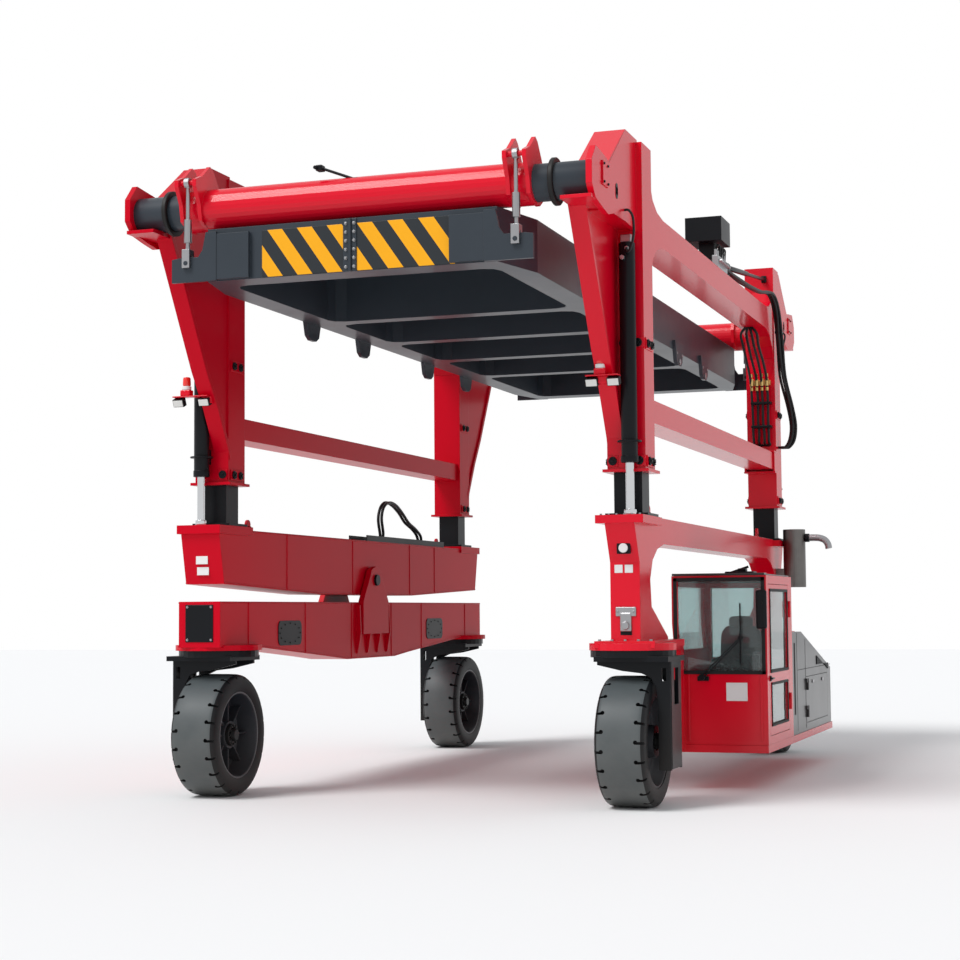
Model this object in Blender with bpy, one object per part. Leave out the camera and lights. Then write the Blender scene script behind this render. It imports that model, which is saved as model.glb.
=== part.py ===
"""Straddle carrier: a portal machine on four steered wheels that lifts a load between its two side frames.

Metres, +Z up, wheels on z = 0. X runs across the machine with the cab on +X, and Y runs along the side
frames, with the end that leads on -Y. Corners are named front_right, front_left, rear_right and rear_left.
Dimensions along X are taken from the middle between the masts, and the finished pieces stand CENTRE_X to
the left of that, which puts the middle of the whole footprint on the origin.
"""
import math

import bmesh
import bpy
from mathutils import Vector

# ---- driving dimensions ---------------------------------------------------
GAP = 0.0003            # left between two pieces that bear on each other
RUN = 0.0005            # running clearance round a pin, a rod or a bar
CENTRE_X = 0.245        # the footprint's middle, cab included, measured from the middle between the masts
LINE_X = 1.985          # masts and wheels stand on this line, either side
MAST_Y = 3.20           # mast centre, fore and aft
STEER_Y = 3.22          # slewing axis of each wheel
MAST_SIDE = 0.34        # outer mast, square
INNER_SIDE = 0.25       # inner mast, square
MAST_PLAY = 0.003       # between the two masts, each side
MAST_FOOT = 2.87        # lower rim of the outer mast
MAST_TOP = 5.74
CONSOLE_TOP = 2.49      # where the inner masts stand
INNER_TOP = 4.90

TYRE_R = 0.56
TYRE_W = 0.44
RIM_R = 0.395
AXLE_R = 0.07
SLEW_Z = 1.34           # plane of the slewing ring
SLEW_R = 0.40
WEB_Y = 0.17            # webs of a knuckle, either side of its spindle

BEAM_IN, BEAM_OUT = 1.85, 2.11    # right lower beam and legs
BEAM_BOTTOM, BEAM_TOP = 2.27, 2.50
LEFT_IN, LEFT_OUT = 1.79, 2.18    # left lower beam
ROCKER_IN, ROCKER_OUT = 1.77, 2.19
ROCKER_TOP, ROCKER_END = 1.79, 3.62
PIN_Z, PIN_R = 2.03, 0.06
EAR_T = 0.055

BAR_Y, BAR_Z, BAR_R = 4.58, 5.16, 0.155
BAR_HALF = 2.06
SLEEVE_R = 0.18
COLLAR_X, COLLAR_T = (1.39, 1.56), 0.036
LINK_X, LINK_Y = 1.475, 4.82
LINK_TOP, LINK_FOOT = 5.36, 4.66

STRUT_IN, STRUT_OUT = 1.83, 1.93
HEAD_IN, HEAD_OUT = 1.83, 2.10
HEAD_PLATE = 0.05
RAM_X, RAM_Y = 2.04, 3.47
RAM_R, ROD_R = 0.07, 0.038
RAM_FOOT, RAM_TOP = 2.94, 4.84

TIE_Z = (3.32, 3.52)
TOP_BEAM_Z = (4.95, 5.205)

SPREADER_Z = (4.50, 4.95)
SPREADER_HALF = 1.45
SPREADER_END = 4.79
SPREADER_WEB = 0.25
CROSS_Y = (-2.25, -0.75, 0.75, 2.25)

FLOOR_Z = (0.35, 0.42)
PLAT_X, PLAT_Y = (1.90, 2.85), (-1.61, 2.36)
CAB_X, CAB_Y, CAB_TOP = (1.95, 2.85), (-1.60, -0.22), 2.00
CAB_WALL = 0.04
SILL_Z = 1.10           # foot of the windscreen and of the door window
HOSE_BUNDLE_R = 0.05
TRAY_FLOOR = 2.475       # tray on the left side frame, under the hose loop
HINGE_OUT, HINGE_R = 0.0145, 0.0115   # hinge pins of both doors, measured out from the panel
HOOD_X, HOOD_Y = (2.16, 2.84), (-0.17, 2.34)
HOOD_Z = (1.45, 1.03)
FLANGE_Y = 2.40         # inboard edge of the flange at the foot of each right leg
HANG_Y = (1.73, 2.24)   # posts that carry the platform from those flanges

CORNERS = (("front_right", 1, -1), ("front_left", -1, -1), ("rear_right", 1, 1), ("rear_left", -1, 1))
SIDES = (("right", 1), ("left", -1))
ENDS = (("front", -1), ("rear", 1))

# ---- a clean scene and the collections -----------------------------------
for old in list(bpy.data.objects):
    bpy.data.objects.remove(old, do_unlink=True)
scene = bpy.context.scene
parts = bpy.data.collections.new("straddle_carrier")
cutters = bpy.data.collections.new("cutters")
scene.collection.children.link(parts)
scene.collection.children.link(cutters)


def material(name, colour, metallic, rough):
    made = bpy.data.materials.new(name)
    made.use_nodes = True
    shader = made.node_tree.nodes["Principled BSDF"]
    shader.inputs["Base Color"].default_value = (*colour, 1)
    shader.inputs["Metallic"].default_value = metallic
    shader.inputs["Roughness"].default_value = rough
    return made


PAINTS = {
    "red": ((0.72, 0.004, 0.020), 0.0, 0.32),
    "charcoal": ((0.035, 0.045, 0.055), 0.0, 0.45),
    "black": ((0.012, 0.012, 0.013), 0.0, 0.5),
    "chrome": ((0.75, 0.75, 0.75), 1.0, 0.12),
    "tyre": ((0.03, 0.03, 0.031), 0.0, 0.85),
    "iron": ((0.06, 0.062, 0.066), 0.6, 0.5),
    "steel": ((0.5, 0.5, 0.5), 1.0, 0.35),
    "grey": ((0.16, 0.15, 0.15), 0.4, 0.4),
    "fabric": ((0.02, 0.02, 0.022), 0.0, 0.9),
}


# ---- shapes ---------------------------------------------------------------
def box(x, y, z):
    mesh = bmesh.new()
    lo, hi = zip(sorted(x), sorted(y), sorted(z))
    bmesh.ops.create_cube(mesh, size=1)
    for v in mesh.verts:
        v.co = Vector([lo[i] if v.co[i] < 0 else hi[i] for i in range(3)])
    return mesh


def prism(points, axis, span):
    """A closed outline carried along an axis. The outline gives the other two coordinates in x, y, z order."""
    mesh = bmesh.new()
    rings = []
    for a in sorted(span):
        ring = []
        for p, q in points:
            at = {"x": (a, p, q), "y": (p, a, q), "z": (p, q, a)}[axis]
            ring.append(mesh.verts.new(at))
        rings.append(ring)
    mesh.faces.new(rings[0])
    mesh.faces.new(reversed(rings[1]))
    n = len(points)
    for i in range(n):
        j = (i + 1) % n
        mesh.faces.new((rings[0][i], rings[1][i], rings[1][j], rings[0][j]))
    bmesh.ops.recalc_face_normals(mesh, faces=mesh.faces)
    return mesh


def round_outline(centre, radius, count, start=0.0):
    return [(centre[0] + radius * math.cos(start + 2 * math.pi * k / count),
             centre[1] + radius * math.sin(start + 2 * math.pi * k / count)) for k in range(count)]


def rod(axis, centre, radius, span, count=32):
    """A round bar. Its flats match those of any other made with the same count."""
    return prism(round_outline(centre, radius, count), axis, span)


def hole(axis, centre, radius, span, count=32):
    """Clears a bar that turns in it, whichever way its flats then face."""
    return rod(axis, centre, (radius + RUN) / math.cos(math.pi / count), span, count)


def slot_for(axis, centre, radius, span, count=32):
    """Clears a bar that only slides in it, flat against flat."""
    return rod(axis, centre, radius + RUN / math.cos(math.pi / count), span, count)


def hose(route, radius, sides=10, steps=4):
    """A closed tube on a smooth curve through a route. Each end face is square to the route's last stretch."""
    spots = [Vector(p) for p in route]
    ends = [2 * spots[0] - spots[1]] + spots + [2 * spots[-1] - spots[-2]]
    path = []
    for a, b, c, d in zip(ends, ends[1:], ends[2:], ends[3:]):
        for k in range(steps):
            t = k / steps
            path.append(0.5 * (2 * b + (c - a) * t + (2 * a - 5 * b + 4 * c - d) * t * t
                               + (3 * b - a - 3 * c + d) * t ** 3))
    path.append(spots[-1])
    mesh = bmesh.new()
    rings, across = [], None
    for before, spot, after in zip([ends[0]] + path, path, path[1:] + [ends[-1]]):
        along = (after - before).normalized()
        if spot in (spots[0], spots[-1]):
            along = (spots[1] - spots[0] if spot == spots[0] else spots[-1] - spots[-2]).normalized()
        across = (across - along * across.dot(along)).normalized() if across else along.orthogonal().normalized()
        turns = [2 * math.pi * k / sides for k in range(sides)]
        over = along.cross(across)
        rings.append([mesh.verts.new(spot + radius * (math.cos(a) * across + math.sin(a) * over)) for a in turns])
    mesh.faces.new(rings[0])
    mesh.faces.new(reversed(rings[-1]))
    for one, two in zip(rings, rings[1:]):
        for k in range(sides):
            mesh.faces.new((one[k], one[(k + 1) % sides], two[(k + 1) % sides], two[k]))
    bmesh.ops.recalc_face_normals(mesh, faces=mesh.faces)
    return mesh


def flip(points, sign):
    return [(sign * p, q) for p, q in points]


def both_ways(points):
    """An outline given for the +Y half, from the middle outwards and back, mirrored into a whole one."""
    return points + [(-p, q) for p, q in reversed(points)]


def place(mesh, name, collection, at=(0, 0, 0)):
    data = bpy.data.meshes.new(name)
    for v in mesh.verts:
        v.co -= Vector(at)
    mesh.to_mesh(data)
    mesh.free()
    made = bpy.data.objects.new(name, data)
    made.location = (at[0] - CENTRE_X, at[1], at[2])
    collection.objects.link(made)
    return made


def node(name, paint, base, joins=(), cuts=(), at=(0, 0, 0)):
    """One piece: a base shape, with others joined to it and then others cut from it."""
    made = place(base, name, parts, at)
    colour, metallic, rough = PAINTS[paint]
    made.data.materials.append(material(name, colour, metallic, rough))
    for kind, shapes in (("UNION", joins), ("DIFFERENCE", cuts)):
        for k, shape in enumerate(shapes):
            helper = place(shape, f"{name}_{kind.lower()}_{k}", cutters)
            helper.hide_render = True
            helper.display_type = "WIRE"
            step = made.modifiers.new(f"{kind.lower()}_{k}", "BOOLEAN")
            step.operation = kind
            step.solver = "EXACT"
            step.object = helper
    return made


def turned(name, paint, profile, at, count=32):
    """A ring round the X axis from an outline of (x, radius) points."""
    mesh = bmesh.new()
    ring = [mesh.verts.new((x, 0, r)) for x, r in profile]
    edges = [mesh.edges.new((ring[i], ring[(i + 1) % len(ring)])) for i in range(len(ring))]
    bmesh.ops.spin(mesh, geom=ring + edges, axis=(1, 0, 0), cent=(0, 0, 0), steps=count,
                   angle=2 * math.pi, use_merge=True)
    bmesh.ops.recalc_face_normals(mesh, faces=mesh.faces)
    data = bpy.data.meshes.new(name)
    mesh.to_mesh(data)
    mesh.free()
    made = bpy.data.objects.new(name, data)
    made.location = (at[0] - CENTRE_X, at[1], at[2])
    parts.objects.link(made)
    colour, metallic, rough = PAINTS[paint]
    made.data.materials.append(material(name, colour, metallic, rough))
    return made


# ---- right side frame: the root, with the cab and the engine -------------
half = [(2.95, BEAM_TOP), (2.95, CONSOLE_TOP), (3.62, CONSOLE_TOP), (3.62, 2.43),
        (3.45, 2.09), (3.45, SLEW_Z + 0.03), (2.44, SLEW_Z + 0.03), (2.44, 1.44), (3.04, 1.71),
        (3.08, 1.95), (2.98, 2.12), (2.80, 2.22), (2.55, BEAM_BOTTOM)]
joins = []
for sy in (-1, 1):
    joins += [
        box((1.72, 2.25), (sy * FLANGE_Y, sy * 3.52), (SLEW_Z + 0.02, 1.42)),
        rod("z", (LINE_X, sy * STEER_Y), SLEW_R - 0.02, (SLEW_Z, 1.40)),
        box((1.77, 2.19), (sy * 2.94, sy * 3.63), (2.42, CONSOLE_TOP)),
    ]
node("chassis_right", "red", prism(both_ways(half), "x", (BEAM_IN, BEAM_OUT)), joins)

# ---- left side frame ------------------------------------------------------
half = [(2.95, 2.46), (2.95, CONSOLE_TOP), (3.60, CONSOLE_TOP), (3.60, 2.40), (3.50, 1.95), (1.27, 1.87)]
joins = []
for sy in (-1, 1):
    joins.append(box((-1.77, -2.21), (sy * 2.94, sy * 3.63), (2.41, CONSOLE_TOP)))
node("chassis_left", "red", prism(both_ways(half), "x", (-LEFT_IN, -LEFT_OUT)),
     joins, [hole("x", (0, PIN_Z), PIN_R, (-1.6, -2.4))])

# ---- rocker beam, hung from the left side frame on one pin ---------------
half = [(ROCKER_END, ROCKER_TOP), (ROCKER_END, 1.37), (2.95, 1.37), (1.13, 1.23), (0.67, 1.19)]
ear = [(-0.36, 1.45), (-0.36, 1.80), (-0.17, 2.06), (-0.12, 2.145), (0, 2.18),
       (0.12, 2.145), (0.17, 2.06), (0.36, 1.80), (0.36, 1.45)]
joins, cuts = [], []
for face, out in ((-ROCKER_IN, 1), (-ROCKER_OUT, -1)):
    joins.append(prism(ear, "x", (face - out * 0.005, face + out * EAR_T)))
    for y in (-0.42, -0.14, 0.14, 0.42):
        joins.append(prism([(face - out * 0.004, 1.24), (face + out * 0.016, 1.25), (face + out * 0.052, 1.46),
                            (face + out * 0.040, 1.76), (face - out * 0.004, 1.78)], "y", (y - 0.012, y + 0.012)))
for sy in (-1, 1):
    joins.append(rod("z", (-LINE_X, sy * STEER_Y), SLEW_R, (SLEW_Z, 1.39)))
cuts.append(hole("x", (0, PIN_Z), PIN_R, (-1.6, -2.4)))
node("rocker_beam", "red", prism(both_ways(half), "x", (-ROCKER_IN, -ROCKER_OUT)),
     joins, cuts, at=(-LINE_X, 0, PIN_Z))
node("rocker_pin", "black", rod("x", (0, PIN_Z), PIN_R, (-1.69, -2.27)), at=(-LINE_X, 0, PIN_Z))

# ---- masts, rams, wheels: four corners -----------------------------------
for corner, sx, sy in CORNERS:
    cx, cy = sx * LINE_X, sy * MAST_Y
    h, g = MAST_SIDE / 2, INNER_SIDE / 2
    bore = g + MAST_PLAY
    strut = [(3.32, 3.08), (3.37, 3.17), (3.60, 3.56), (3.83, 3.88), (4.04, 4.23), (4.46, 4.99), (3.32, 5.05)]
    flange = [(3.345, 3.10), (3.37, 3.17), (3.60, 3.56), (3.83, 3.88), (4.04, 4.23), (4.50, 5.00), (4.46, 5.03),
              (4.00, 4.25), (3.79, 3.90), (3.56, 3.58), (3.32, 3.18)]
    head = [(3.32, 4.98), (4.30, 4.96), (4.30, 5.35), (3.72, MAST_TOP + 0.03), (3.32, MAST_TOP + 0.03)]
    plate = [(3.32, 4.96), (4.05, 4.98), (4.30, 4.92), (4.46, 4.94), (BAR_Y + 0.11, 4.98), (BAR_Y + 0.215, 5.08),
             (BAR_Y + 0.215, 5.27), (BAR_Y + 0.09, 5.41), (4.36, 5.38), (4.26, 5.36), (3.72, MAST_TOP + 0.03),
             (3.32, MAST_TOP + 0.03)]
    saddle = [(4.25, 4.97), (4.78, 4.97), (4.78, 5.00), (4.62, 5.01), (4.25, 5.20)]
    node(f"outer_mast_{corner}", "red",
         box((cx - h, cx + h), (cy - h, cy + h), (MAST_FOOT, MAST_TOP)),
         [prism(flip(strut, sy), "x", (sx * STRUT_IN, sx * STRUT_OUT)),
          prism(flip(flange, sy), "x", (sx * (STRUT_IN - 0.02), sx * (STRUT_OUT + 0.03))),
          prism(flip(head, sy), "x", (sx * HEAD_IN, sx * HEAD_OUT)),
          prism(flip(plate, sy), "x", (sx * (HEAD_OUT - HEAD_PLATE), sx * (HEAD_OUT + 0.002))),
          prism(flip(saddle, sy), "x", (sx * HEAD_IN, sx * (HEAD_OUT - 0.01))),
          box((cx - h - 0.035, cx + h + 0.035), (cy - h - 0.035, cy + h + 0.035), (MAST_FOOT, MAST_FOOT + 0.025))],
         [box((cx - bore, cx + bore), (cy - bore, cy + bore), (MAST_FOOT - 0.1, MAST_TOP - 0.12)),
          slot_for("x", (sy * BAR_Y, BAR_Z), BAR_R, (sx * 1.7, sx * (BAR_HALF + GAP)))])
    node(f"inner_mast_{corner}", "black",
         box((cx - g, cx + g), (cy - g, cy + g), (CONSOLE_TOP + GAP, INNER_TOP)),
         [box((cx - 0.19, cx + 0.19), (cy - 0.19, cy + 0.19), (CONSOLE_TOP + GAP, CONSOLE_TOP + 0.025))])
    rx, ry = sx * RAM_X, sy * RAM_Y
    node(f"lift_barrel_{corner}", "black", rod("z", (rx, ry), RAM_R, (RAM_FOOT, RAM_TOP), 16),
         [rod("z", (rx, ry), 0.085, (3.10, 3.15), 16),
          box((rx - 0.05, rx + 0.05), (sy * (MAST_Y + h + GAP), ry), (3.06, 3.20)),
          box((rx - 0.05, rx + 0.05), (sy * (MAST_Y + h + GAP), ry), (4.62, 4.74))],
         [slot_for("z", (rx, ry), ROD_R, (RAM_FOOT - 0.1, RAM_TOP - 0.05), 16)])
    node(f"lift_rod_{corner}", "chrome", rod("z", (rx, ry), ROD_R, (CONSOLE_TOP + GAP, RAM_TOP - 0.32), 16),
         [rod("z", (rx, ry), 0.055, (CONSOLE_TOP + GAP, CONSOLE_TOP + 0.05), 16)])

    # knuckle: ring, top plate, two webs over and outside the wheel, a side plate between them, and the spindle
    kx, ky = cx, sy * STEER_Y
    web = [(-0.27, 1.26), (-0.27, 1.215), (-0.05, 1.165), (0.12, 1.145), (0.20, 1.11), (0.245, 1.03), (0.262, 0.90),
           (0.262, 0.33), (0.37, 0.33), (0.37, 1.26)]
    web = [(kx + sx * p, q) for p, q in web]
    joins = [prism(web, "y", (ky + side * WEB_Y, ky + side * (WEB_Y + 0.03))) for side in (-1, 1)]
    joins += [rod("z", (kx, ky), SLEW_R - 0.03, (1.28, SLEW_Z - GAP)),
              box((kx + sx * 0.345, kx + sx * 0.375), (ky - WEB_Y - 0.01, ky + WEB_Y + 0.01), (0.34, 1.255)),
              rod("x", (ky, TYRE_R), 0.13, (kx + sx * 0.26, kx + sx * 0.36)),
              rod("x", (ky, TYRE_R), AXLE_R, (kx - sx * 0.15, kx + sx * 0.27))]
    node(f"knuckle_{corner}", "black",
         box((kx - sx * 0.27, kx + sx * 0.38), (ky - 0.31, ky + 0.31), (1.245, 1.29)), joins,
         [box((kx + sx * 0.295, kx + sx * 0.335), (ky - 0.3, ky + 0.3), (1.08, 1.19)),
          box((kx + sx * 0.3, kx + sx * 0.4), (ky - 0.08, ky + 0.08), (0.88, 1.19))],
         at=(kx, ky, SLEW_Z))
    w, r = TYRE_W / 2, RIM_R
    centre = (kx, ky, TYRE_R)
    turned(f"tyre_{corner}", "tyre",
           [(-w, r + GAP), (-w, TYRE_R - 0.06), (-w + 0.025, TYRE_R - 0.02), (-w + 0.07, TYRE_R),
            (w - 0.07, TYRE_R), (w - 0.025, TYRE_R - 0.02), (w, TYRE_R - 0.06), (w, r + GAP)], centre)
    b = (AXLE_R + RUN) / math.cos(math.pi / 32)
    turned(f"wheel_rim_{corner}", "iron",
           [(sx * p, q) for p, q in ((-0.195, r), (-0.195, r - 0.025), (0.03, r - 0.055), (0.02, 0.13),
                                     (-0.12, 0.115), (-0.12, b), (0.20, b), (0.20, 0.14), (0.09, 0.16),
                                     (0.09, r - 0.055), (0.195, r - 0.035), (0.195, r))], centre)

# ---- top beams and tie bars ----------------------------------------------
inner_y = MAST_Y - MAST_SIDE / 2 - GAP
for side, sx in SIDES:
    z0, z1 = TOP_BEAM_Z
    half = [(2.55, z1), (2.78, z1 + 0.03), (2.94, z1 + 0.11), (inner_y, z1 + 0.24), (inner_y, z0 - 0.30),
            (2.95, z0 - 0.17), (2.80, z0 - 0.06), (2.55, z0)]
    node(f"top_beam_{side}", "red",
         prism(both_ways(half), "x", (sx * 1.85, sx * 2.145)))
    z0, z1 = TIE_Z
    node(f"tie_bar_{side}", "red", box((sx * 1.85, sx * 2.145), (-inner_y, inner_y), (z0, z1)))

# ---- cross bars, and the carriage that slides on them ---------------------
for end, sy in ENDS:
    y = sy * BAR_Y
    node(f"cross_bar_{end}", "charcoal", rod("x", (y, BAR_Z), BAR_R, (-BAR_HALF, BAR_HALF)))
    collar = [(sy * (BAR_Y + p), BAR_Z + q) for p, q in (
        (-0.20, -0.10), (-0.22, 0.06), (-0.14, 0.22), (-0.03, 0.35), (0.03, 0.38), (0.17, 0.27), (0.29, 0.22),
        (0.29, 0.16), (0.21, 0.02), (0.18, -0.12), (0.05, -0.175), (-0.08, -0.175))]
    joins = []
    for sx in (-1, 1):
        for x in COLLAR_X:
            joins.append(prism(collar, "x", (sx * (x - COLLAR_T / 2), sx * (x + COLLAR_T / 2))))
        joins.append(rod("x", (sy * LINK_Y, LINK_TOP), 0.022, (sx * COLLAR_X[0], sx * COLLAR_X[1]), 16))
    node(f"shift_sleeve_{end}", "red", rod("x", (y, BAR_Z), SLEEVE_R, (-COLLAR_X[1], COLLAR_X[1])),
         joins, [slot_for("x", (y, BAR_Z), BAR_R, (-2, 2))])

for corner, sx, sy in CORNERS:
    x, y = sx * LINK_X, sy * LINK_Y
    node(f"spreader_link_{corner}", "steel", rod("z", (x, y), 0.018, (LINK_FOOT + 0.08, LINK_TOP), 12),
         [rod("x", (y, LINK_TOP), 0.045, (x - 0.022, x + 0.022), 16),
          rod("z", (x, y), 0.034, (4.84, 5.04), 12),
          box((x - 0.035, x + 0.035), (y - 0.045, y + 0.045), (LINK_FOOT - 0.04, LINK_FOOT + 0.12))],
         [hole("x", (y, LINK_TOP), 0.022, (x - 0.1, x + 0.1), 16),
          box((x - 0.1, x + 0.1), (y - 0.0155, y + 0.0155), (LINK_FOOT - 0.1, LINK_FOOT + 0.07)),
          hole("y", (x, LINK_FOOT), 0.018, (y - 0.1, y + 0.1), 16)])

# ---- spreader -------------------------------------------------------------
z0, z1 = SPREADER_Z
s, e, wb = SPREADER_HALF, SPREADER_END, SPREADER_WEB
outline = [(s, -e + 0.62), (s, e - 0.62), (s - 0.15, e), (-s + 0.15, e), (-s, e - 0.62), (-s, -e + 0.62),
           (-s + 0.15, -e), (s - 0.15, -e)]
stops = [-e + 0.28] + [c for m in CROSS_Y for c in (m - 0.09, m + 0.09)] + [e - 0.28]
cuts, joins = [], []
for y0, y1 in zip(stops[0::2], stops[1::2]):
    c = 0.14
    xi = s - wb
    cell = [(xi - c, y0), (xi - 0.04, y0 + 0.04), (xi, y0 + c), (xi, y1 - c), (xi - 0.04, y1 - 0.04), (xi - c, y1)]
    cuts.append(prism(both_ways(cell), "z", (z0 - 0.1, z1 - 0.03)))
for sx in (-1, 1):
    for sy in (-1, 1):
        ear = [(sx * 1.20, z0), (sx * 1.62, z0), (sx * 1.62, z0 + 0.20), (sx * 1.56, z0 + 0.21),
               (sx * 1.37, z0 + 0.21), (sx * 1.33, z0 + 0.27), (sx * 1.30, z0 + 0.42), (sx * 1.20, z0 + 0.42)]
        joins.append(prism(ear, "y", (sy * (LINK_Y - 0.015), sy * (LINK_Y + 0.015))))
        joins.append(box((sx * 0.9, sx * 1.29), (sy * (e - 0.05), sy * (LINK_Y + 0.01)), (z0 + 0.01, z0 + 0.40)))
        joins.append(rod("y", (sx * LINK_X, LINK_FOOT), 0.018, (sy * (LINK_Y - 0.05), sy * (LINK_Y + 0.05)), 16))
    for y in (-2.27, -0.96, 0.96, 2.27):
        lug = [(y - 0.20, z0 + 0.10), (y - 0.13, z0 - 0.12), (y - 0.06, z0 - 0.16), (y + 0.06, z0 - 0.16),
               (y + 0.13, z0 - 0.12), (y + 0.20, z0 + 0.10)]
        joins.append(prism(lug, "x", (sx * (s - 0.01), sx * (s + 0.03))))
node("spreader", "charcoal", prism(outline, "z", (z0, z1)), joins, cuts)

# ---- platform, cab and engine --------------------------------------------
px, py, (f0, f1) = PLAT_X, PLAT_Y, FLOOR_Z
node("platform", "red", box(px, py, (f0, f1)),
     [box((1.92, 2.06), (sy * HANG_Y[0] if sy < 0 else HANG_Y[1], edge), (f0 + 0.01, 1.41)) for sy, edge in
      ((-1, py[0] + 0.01), (1, py[1] - 0.01))]
     + [box((1.92, 2.06), (sy * (FLANGE_Y - GAP), edge), (1.30, 1.41)) for sy, edge in
        ((-1, py[0] - 0.05), (1, py[1] - 0.05))])

(x0, x1), (y0, y1), top = CAB_X, CAB_Y, CAB_TOP
t, low = CAB_WALL, f1 + GAP
profile = [(x0 + 0.10, low), (x1, low), (x1, top), (x0, top), (x0, 1.55), (x0 + 0.03, 1.12)]
DOOR_Y, DOOR_Z, DOOR_T = (-1.50, -0.42), (0.50, 1.92), 0.035
d0, d1 = DOOR_Y[0] + 0.005, DOOR_Y[1] - 0.005
leaves = []
for z in (0.80, 1.70):
    leaves += [box((x1 - 0.01, x1 + 0.018), (d1 + 0.008, d1 + 0.05), (z + GAP, z + 0.06)),
               box((x1 + 0.006, x1 + 0.018), (d1 - 0.012, d1 + 0.02), (z + GAP, z + 0.06)),
               rod("z", (x1 + HINGE_OUT, d1 - 0.012), HINGE_R, (z + GAP, z + 0.06), 12)]
node("cab_shell", "red", prism(profile, "y", (y0, y1)), leaves,
     cuts=[prism([(x0 + 0.10 + t, low + t), (x1 - t, low + t), (x1 - t, top - t), (x0 + t, top - t),
                  (x0 + t, 1.55), (x0 + 0.03 + t, 1.12)], "y", (y0 + t, y1 - t)),
           box((x0 + 0.055, x1 - 0.035), (y0 - 0.1, y0 + 0.1), (SILL_Z, top - 0.045)),
           box((x0 + 0.09, x1 - 0.06), (y1 - 0.1, y1 + 0.1), (1.20, top - 0.10)),
           box((x0 - 0.1, x0 + 0.1), (y0 + 0.12, y1 - 0.12), (1.30, top - 0.10)),
           box((x1 - 0.1, x1), DOOR_Y, DOOR_Z)])
node("cab_door", "red", box((x1 - DOOR_T, x1), (d0, d1), (DOOR_Z[0] + 0.005, DOOR_Z[1] - 0.005)),
     [shape for z in (0.70, 1.60) for shape in (
         rod("z", (x1 + HINGE_OUT, d1 - 0.012), HINGE_R, (z, z + 0.10), 12),
         box((x1 - 0.005, x1 + HINGE_OUT), (d1 - 0.030, d1 - 0.006), (z, z + 0.10)))],
     [box((x1 - 0.2, x1 + 0.1), (d0 + 0.07, d1 - 0.07), (SILL_Z, DOOR_Z[1] - 0.06)),
      box((x1 - 0.2, x1 + 0.1), (d0 + 0.10, d1 - 0.10), (0.60, 0.98))],
     at=(x1 + HINGE_OUT, d1 - 0.012, 0.42))
node("driver_seat", "fabric", box((2.18, 2.62), (-0.98, -0.56), (0.88, 1.00)),
     [prism([(-0.68, 0.95), (-0.56, 0.95), (-0.44, 1.60), (-0.52, 1.62)], "x", (2.20, 2.60)),
      box((2.28, 2.52), (-0.90, -0.66), (low + t + GAP, 0.90))])

(x0, x1), (y0, y1) = HOOD_X, HOOD_Y
outer = [(y0, low), (y0, HOOD_Z[0]), (0.38, HOOD_Z[0]), (y1, HOOD_Z[1]), (y1, low)]
inner = [(y0 + 0.03, 0.1), (y0 + 0.03, HOOD_Z[0] - 0.03), (0.37, HOOD_Z[0] - 0.03), (y1 - 0.03, HOOD_Z[1] - 0.03),
         (y1 - 0.03, 0.1)]
PANEL_Y, PANEL_Z = (0.66, 2.10), (0.50, 0.98)
p0, p1 = PANEL_Y[0] + 0.005, PANEL_Y[1] - 0.005
leaves = []
for z in (0.64, 0.92):
    leaves += [box((x1 - 0.01, x1 + 0.018), (p0 - 0.05, p0 - 0.008), (z + GAP, z + 0.04)),
               box((x1 + 0.006, x1 + 0.018), (p0 - 0.02, p0 + 0.012), (z + GAP, z + 0.04)),
               rod("z", (x1 + HINGE_OUT, p0 + 0.012), HINGE_R, (z + GAP, z + 0.04), 12)]
node("engine_hood", "grey", prism(outer, "x", (x0, x1)), leaves,
     cuts=[prism(inner, "x", (x0 + 0.03, x1 - 0.03)), box((x1 - 0.1, x1), PANEL_Y, PANEL_Z)])
node("engine_door", "grey", box((x1 - 0.03, x1), (p0, p1), (PANEL_Z[0] + 0.005, PANEL_Z[1] - 0.005)),
     [shape for z in (0.56, 0.84) for shape in (
         rod("z", (x1 + HINGE_OUT, p0 + 0.012), HINGE_R, (z, z + 0.08), 12),
         box((x1 - 0.005, x1 + HINGE_OUT), (p0 + 0.006, p0 + 0.030), (z, z + 0.08)))],
     at=(x1 + HINGE_OUT, p0 + 0.012, 0.5))
node("engine_block", "iron", box((2.26, 2.74), (0.0, 1.90), (low, 0.98)))
node("muffler", "steel", rod("z", (2.32, 3.20), 0.13, (1.94, 2.62), 32),
     [box((BEAM_OUT + GAP, 2.24), (3.14, 3.26), (2.06, 2.16)),
      rod("y", (2.32, 2.54), 0.035, (3.25, 3.52), 16)])
node("control_box", "black", box((1.81, 2.19), (-0.15, 0.30), (5.48, 5.73)),
     [box((1.92, 2.08), (0.0, 0.16), (TOP_BEAM_Z[1] + GAP, 5.49))])

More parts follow.
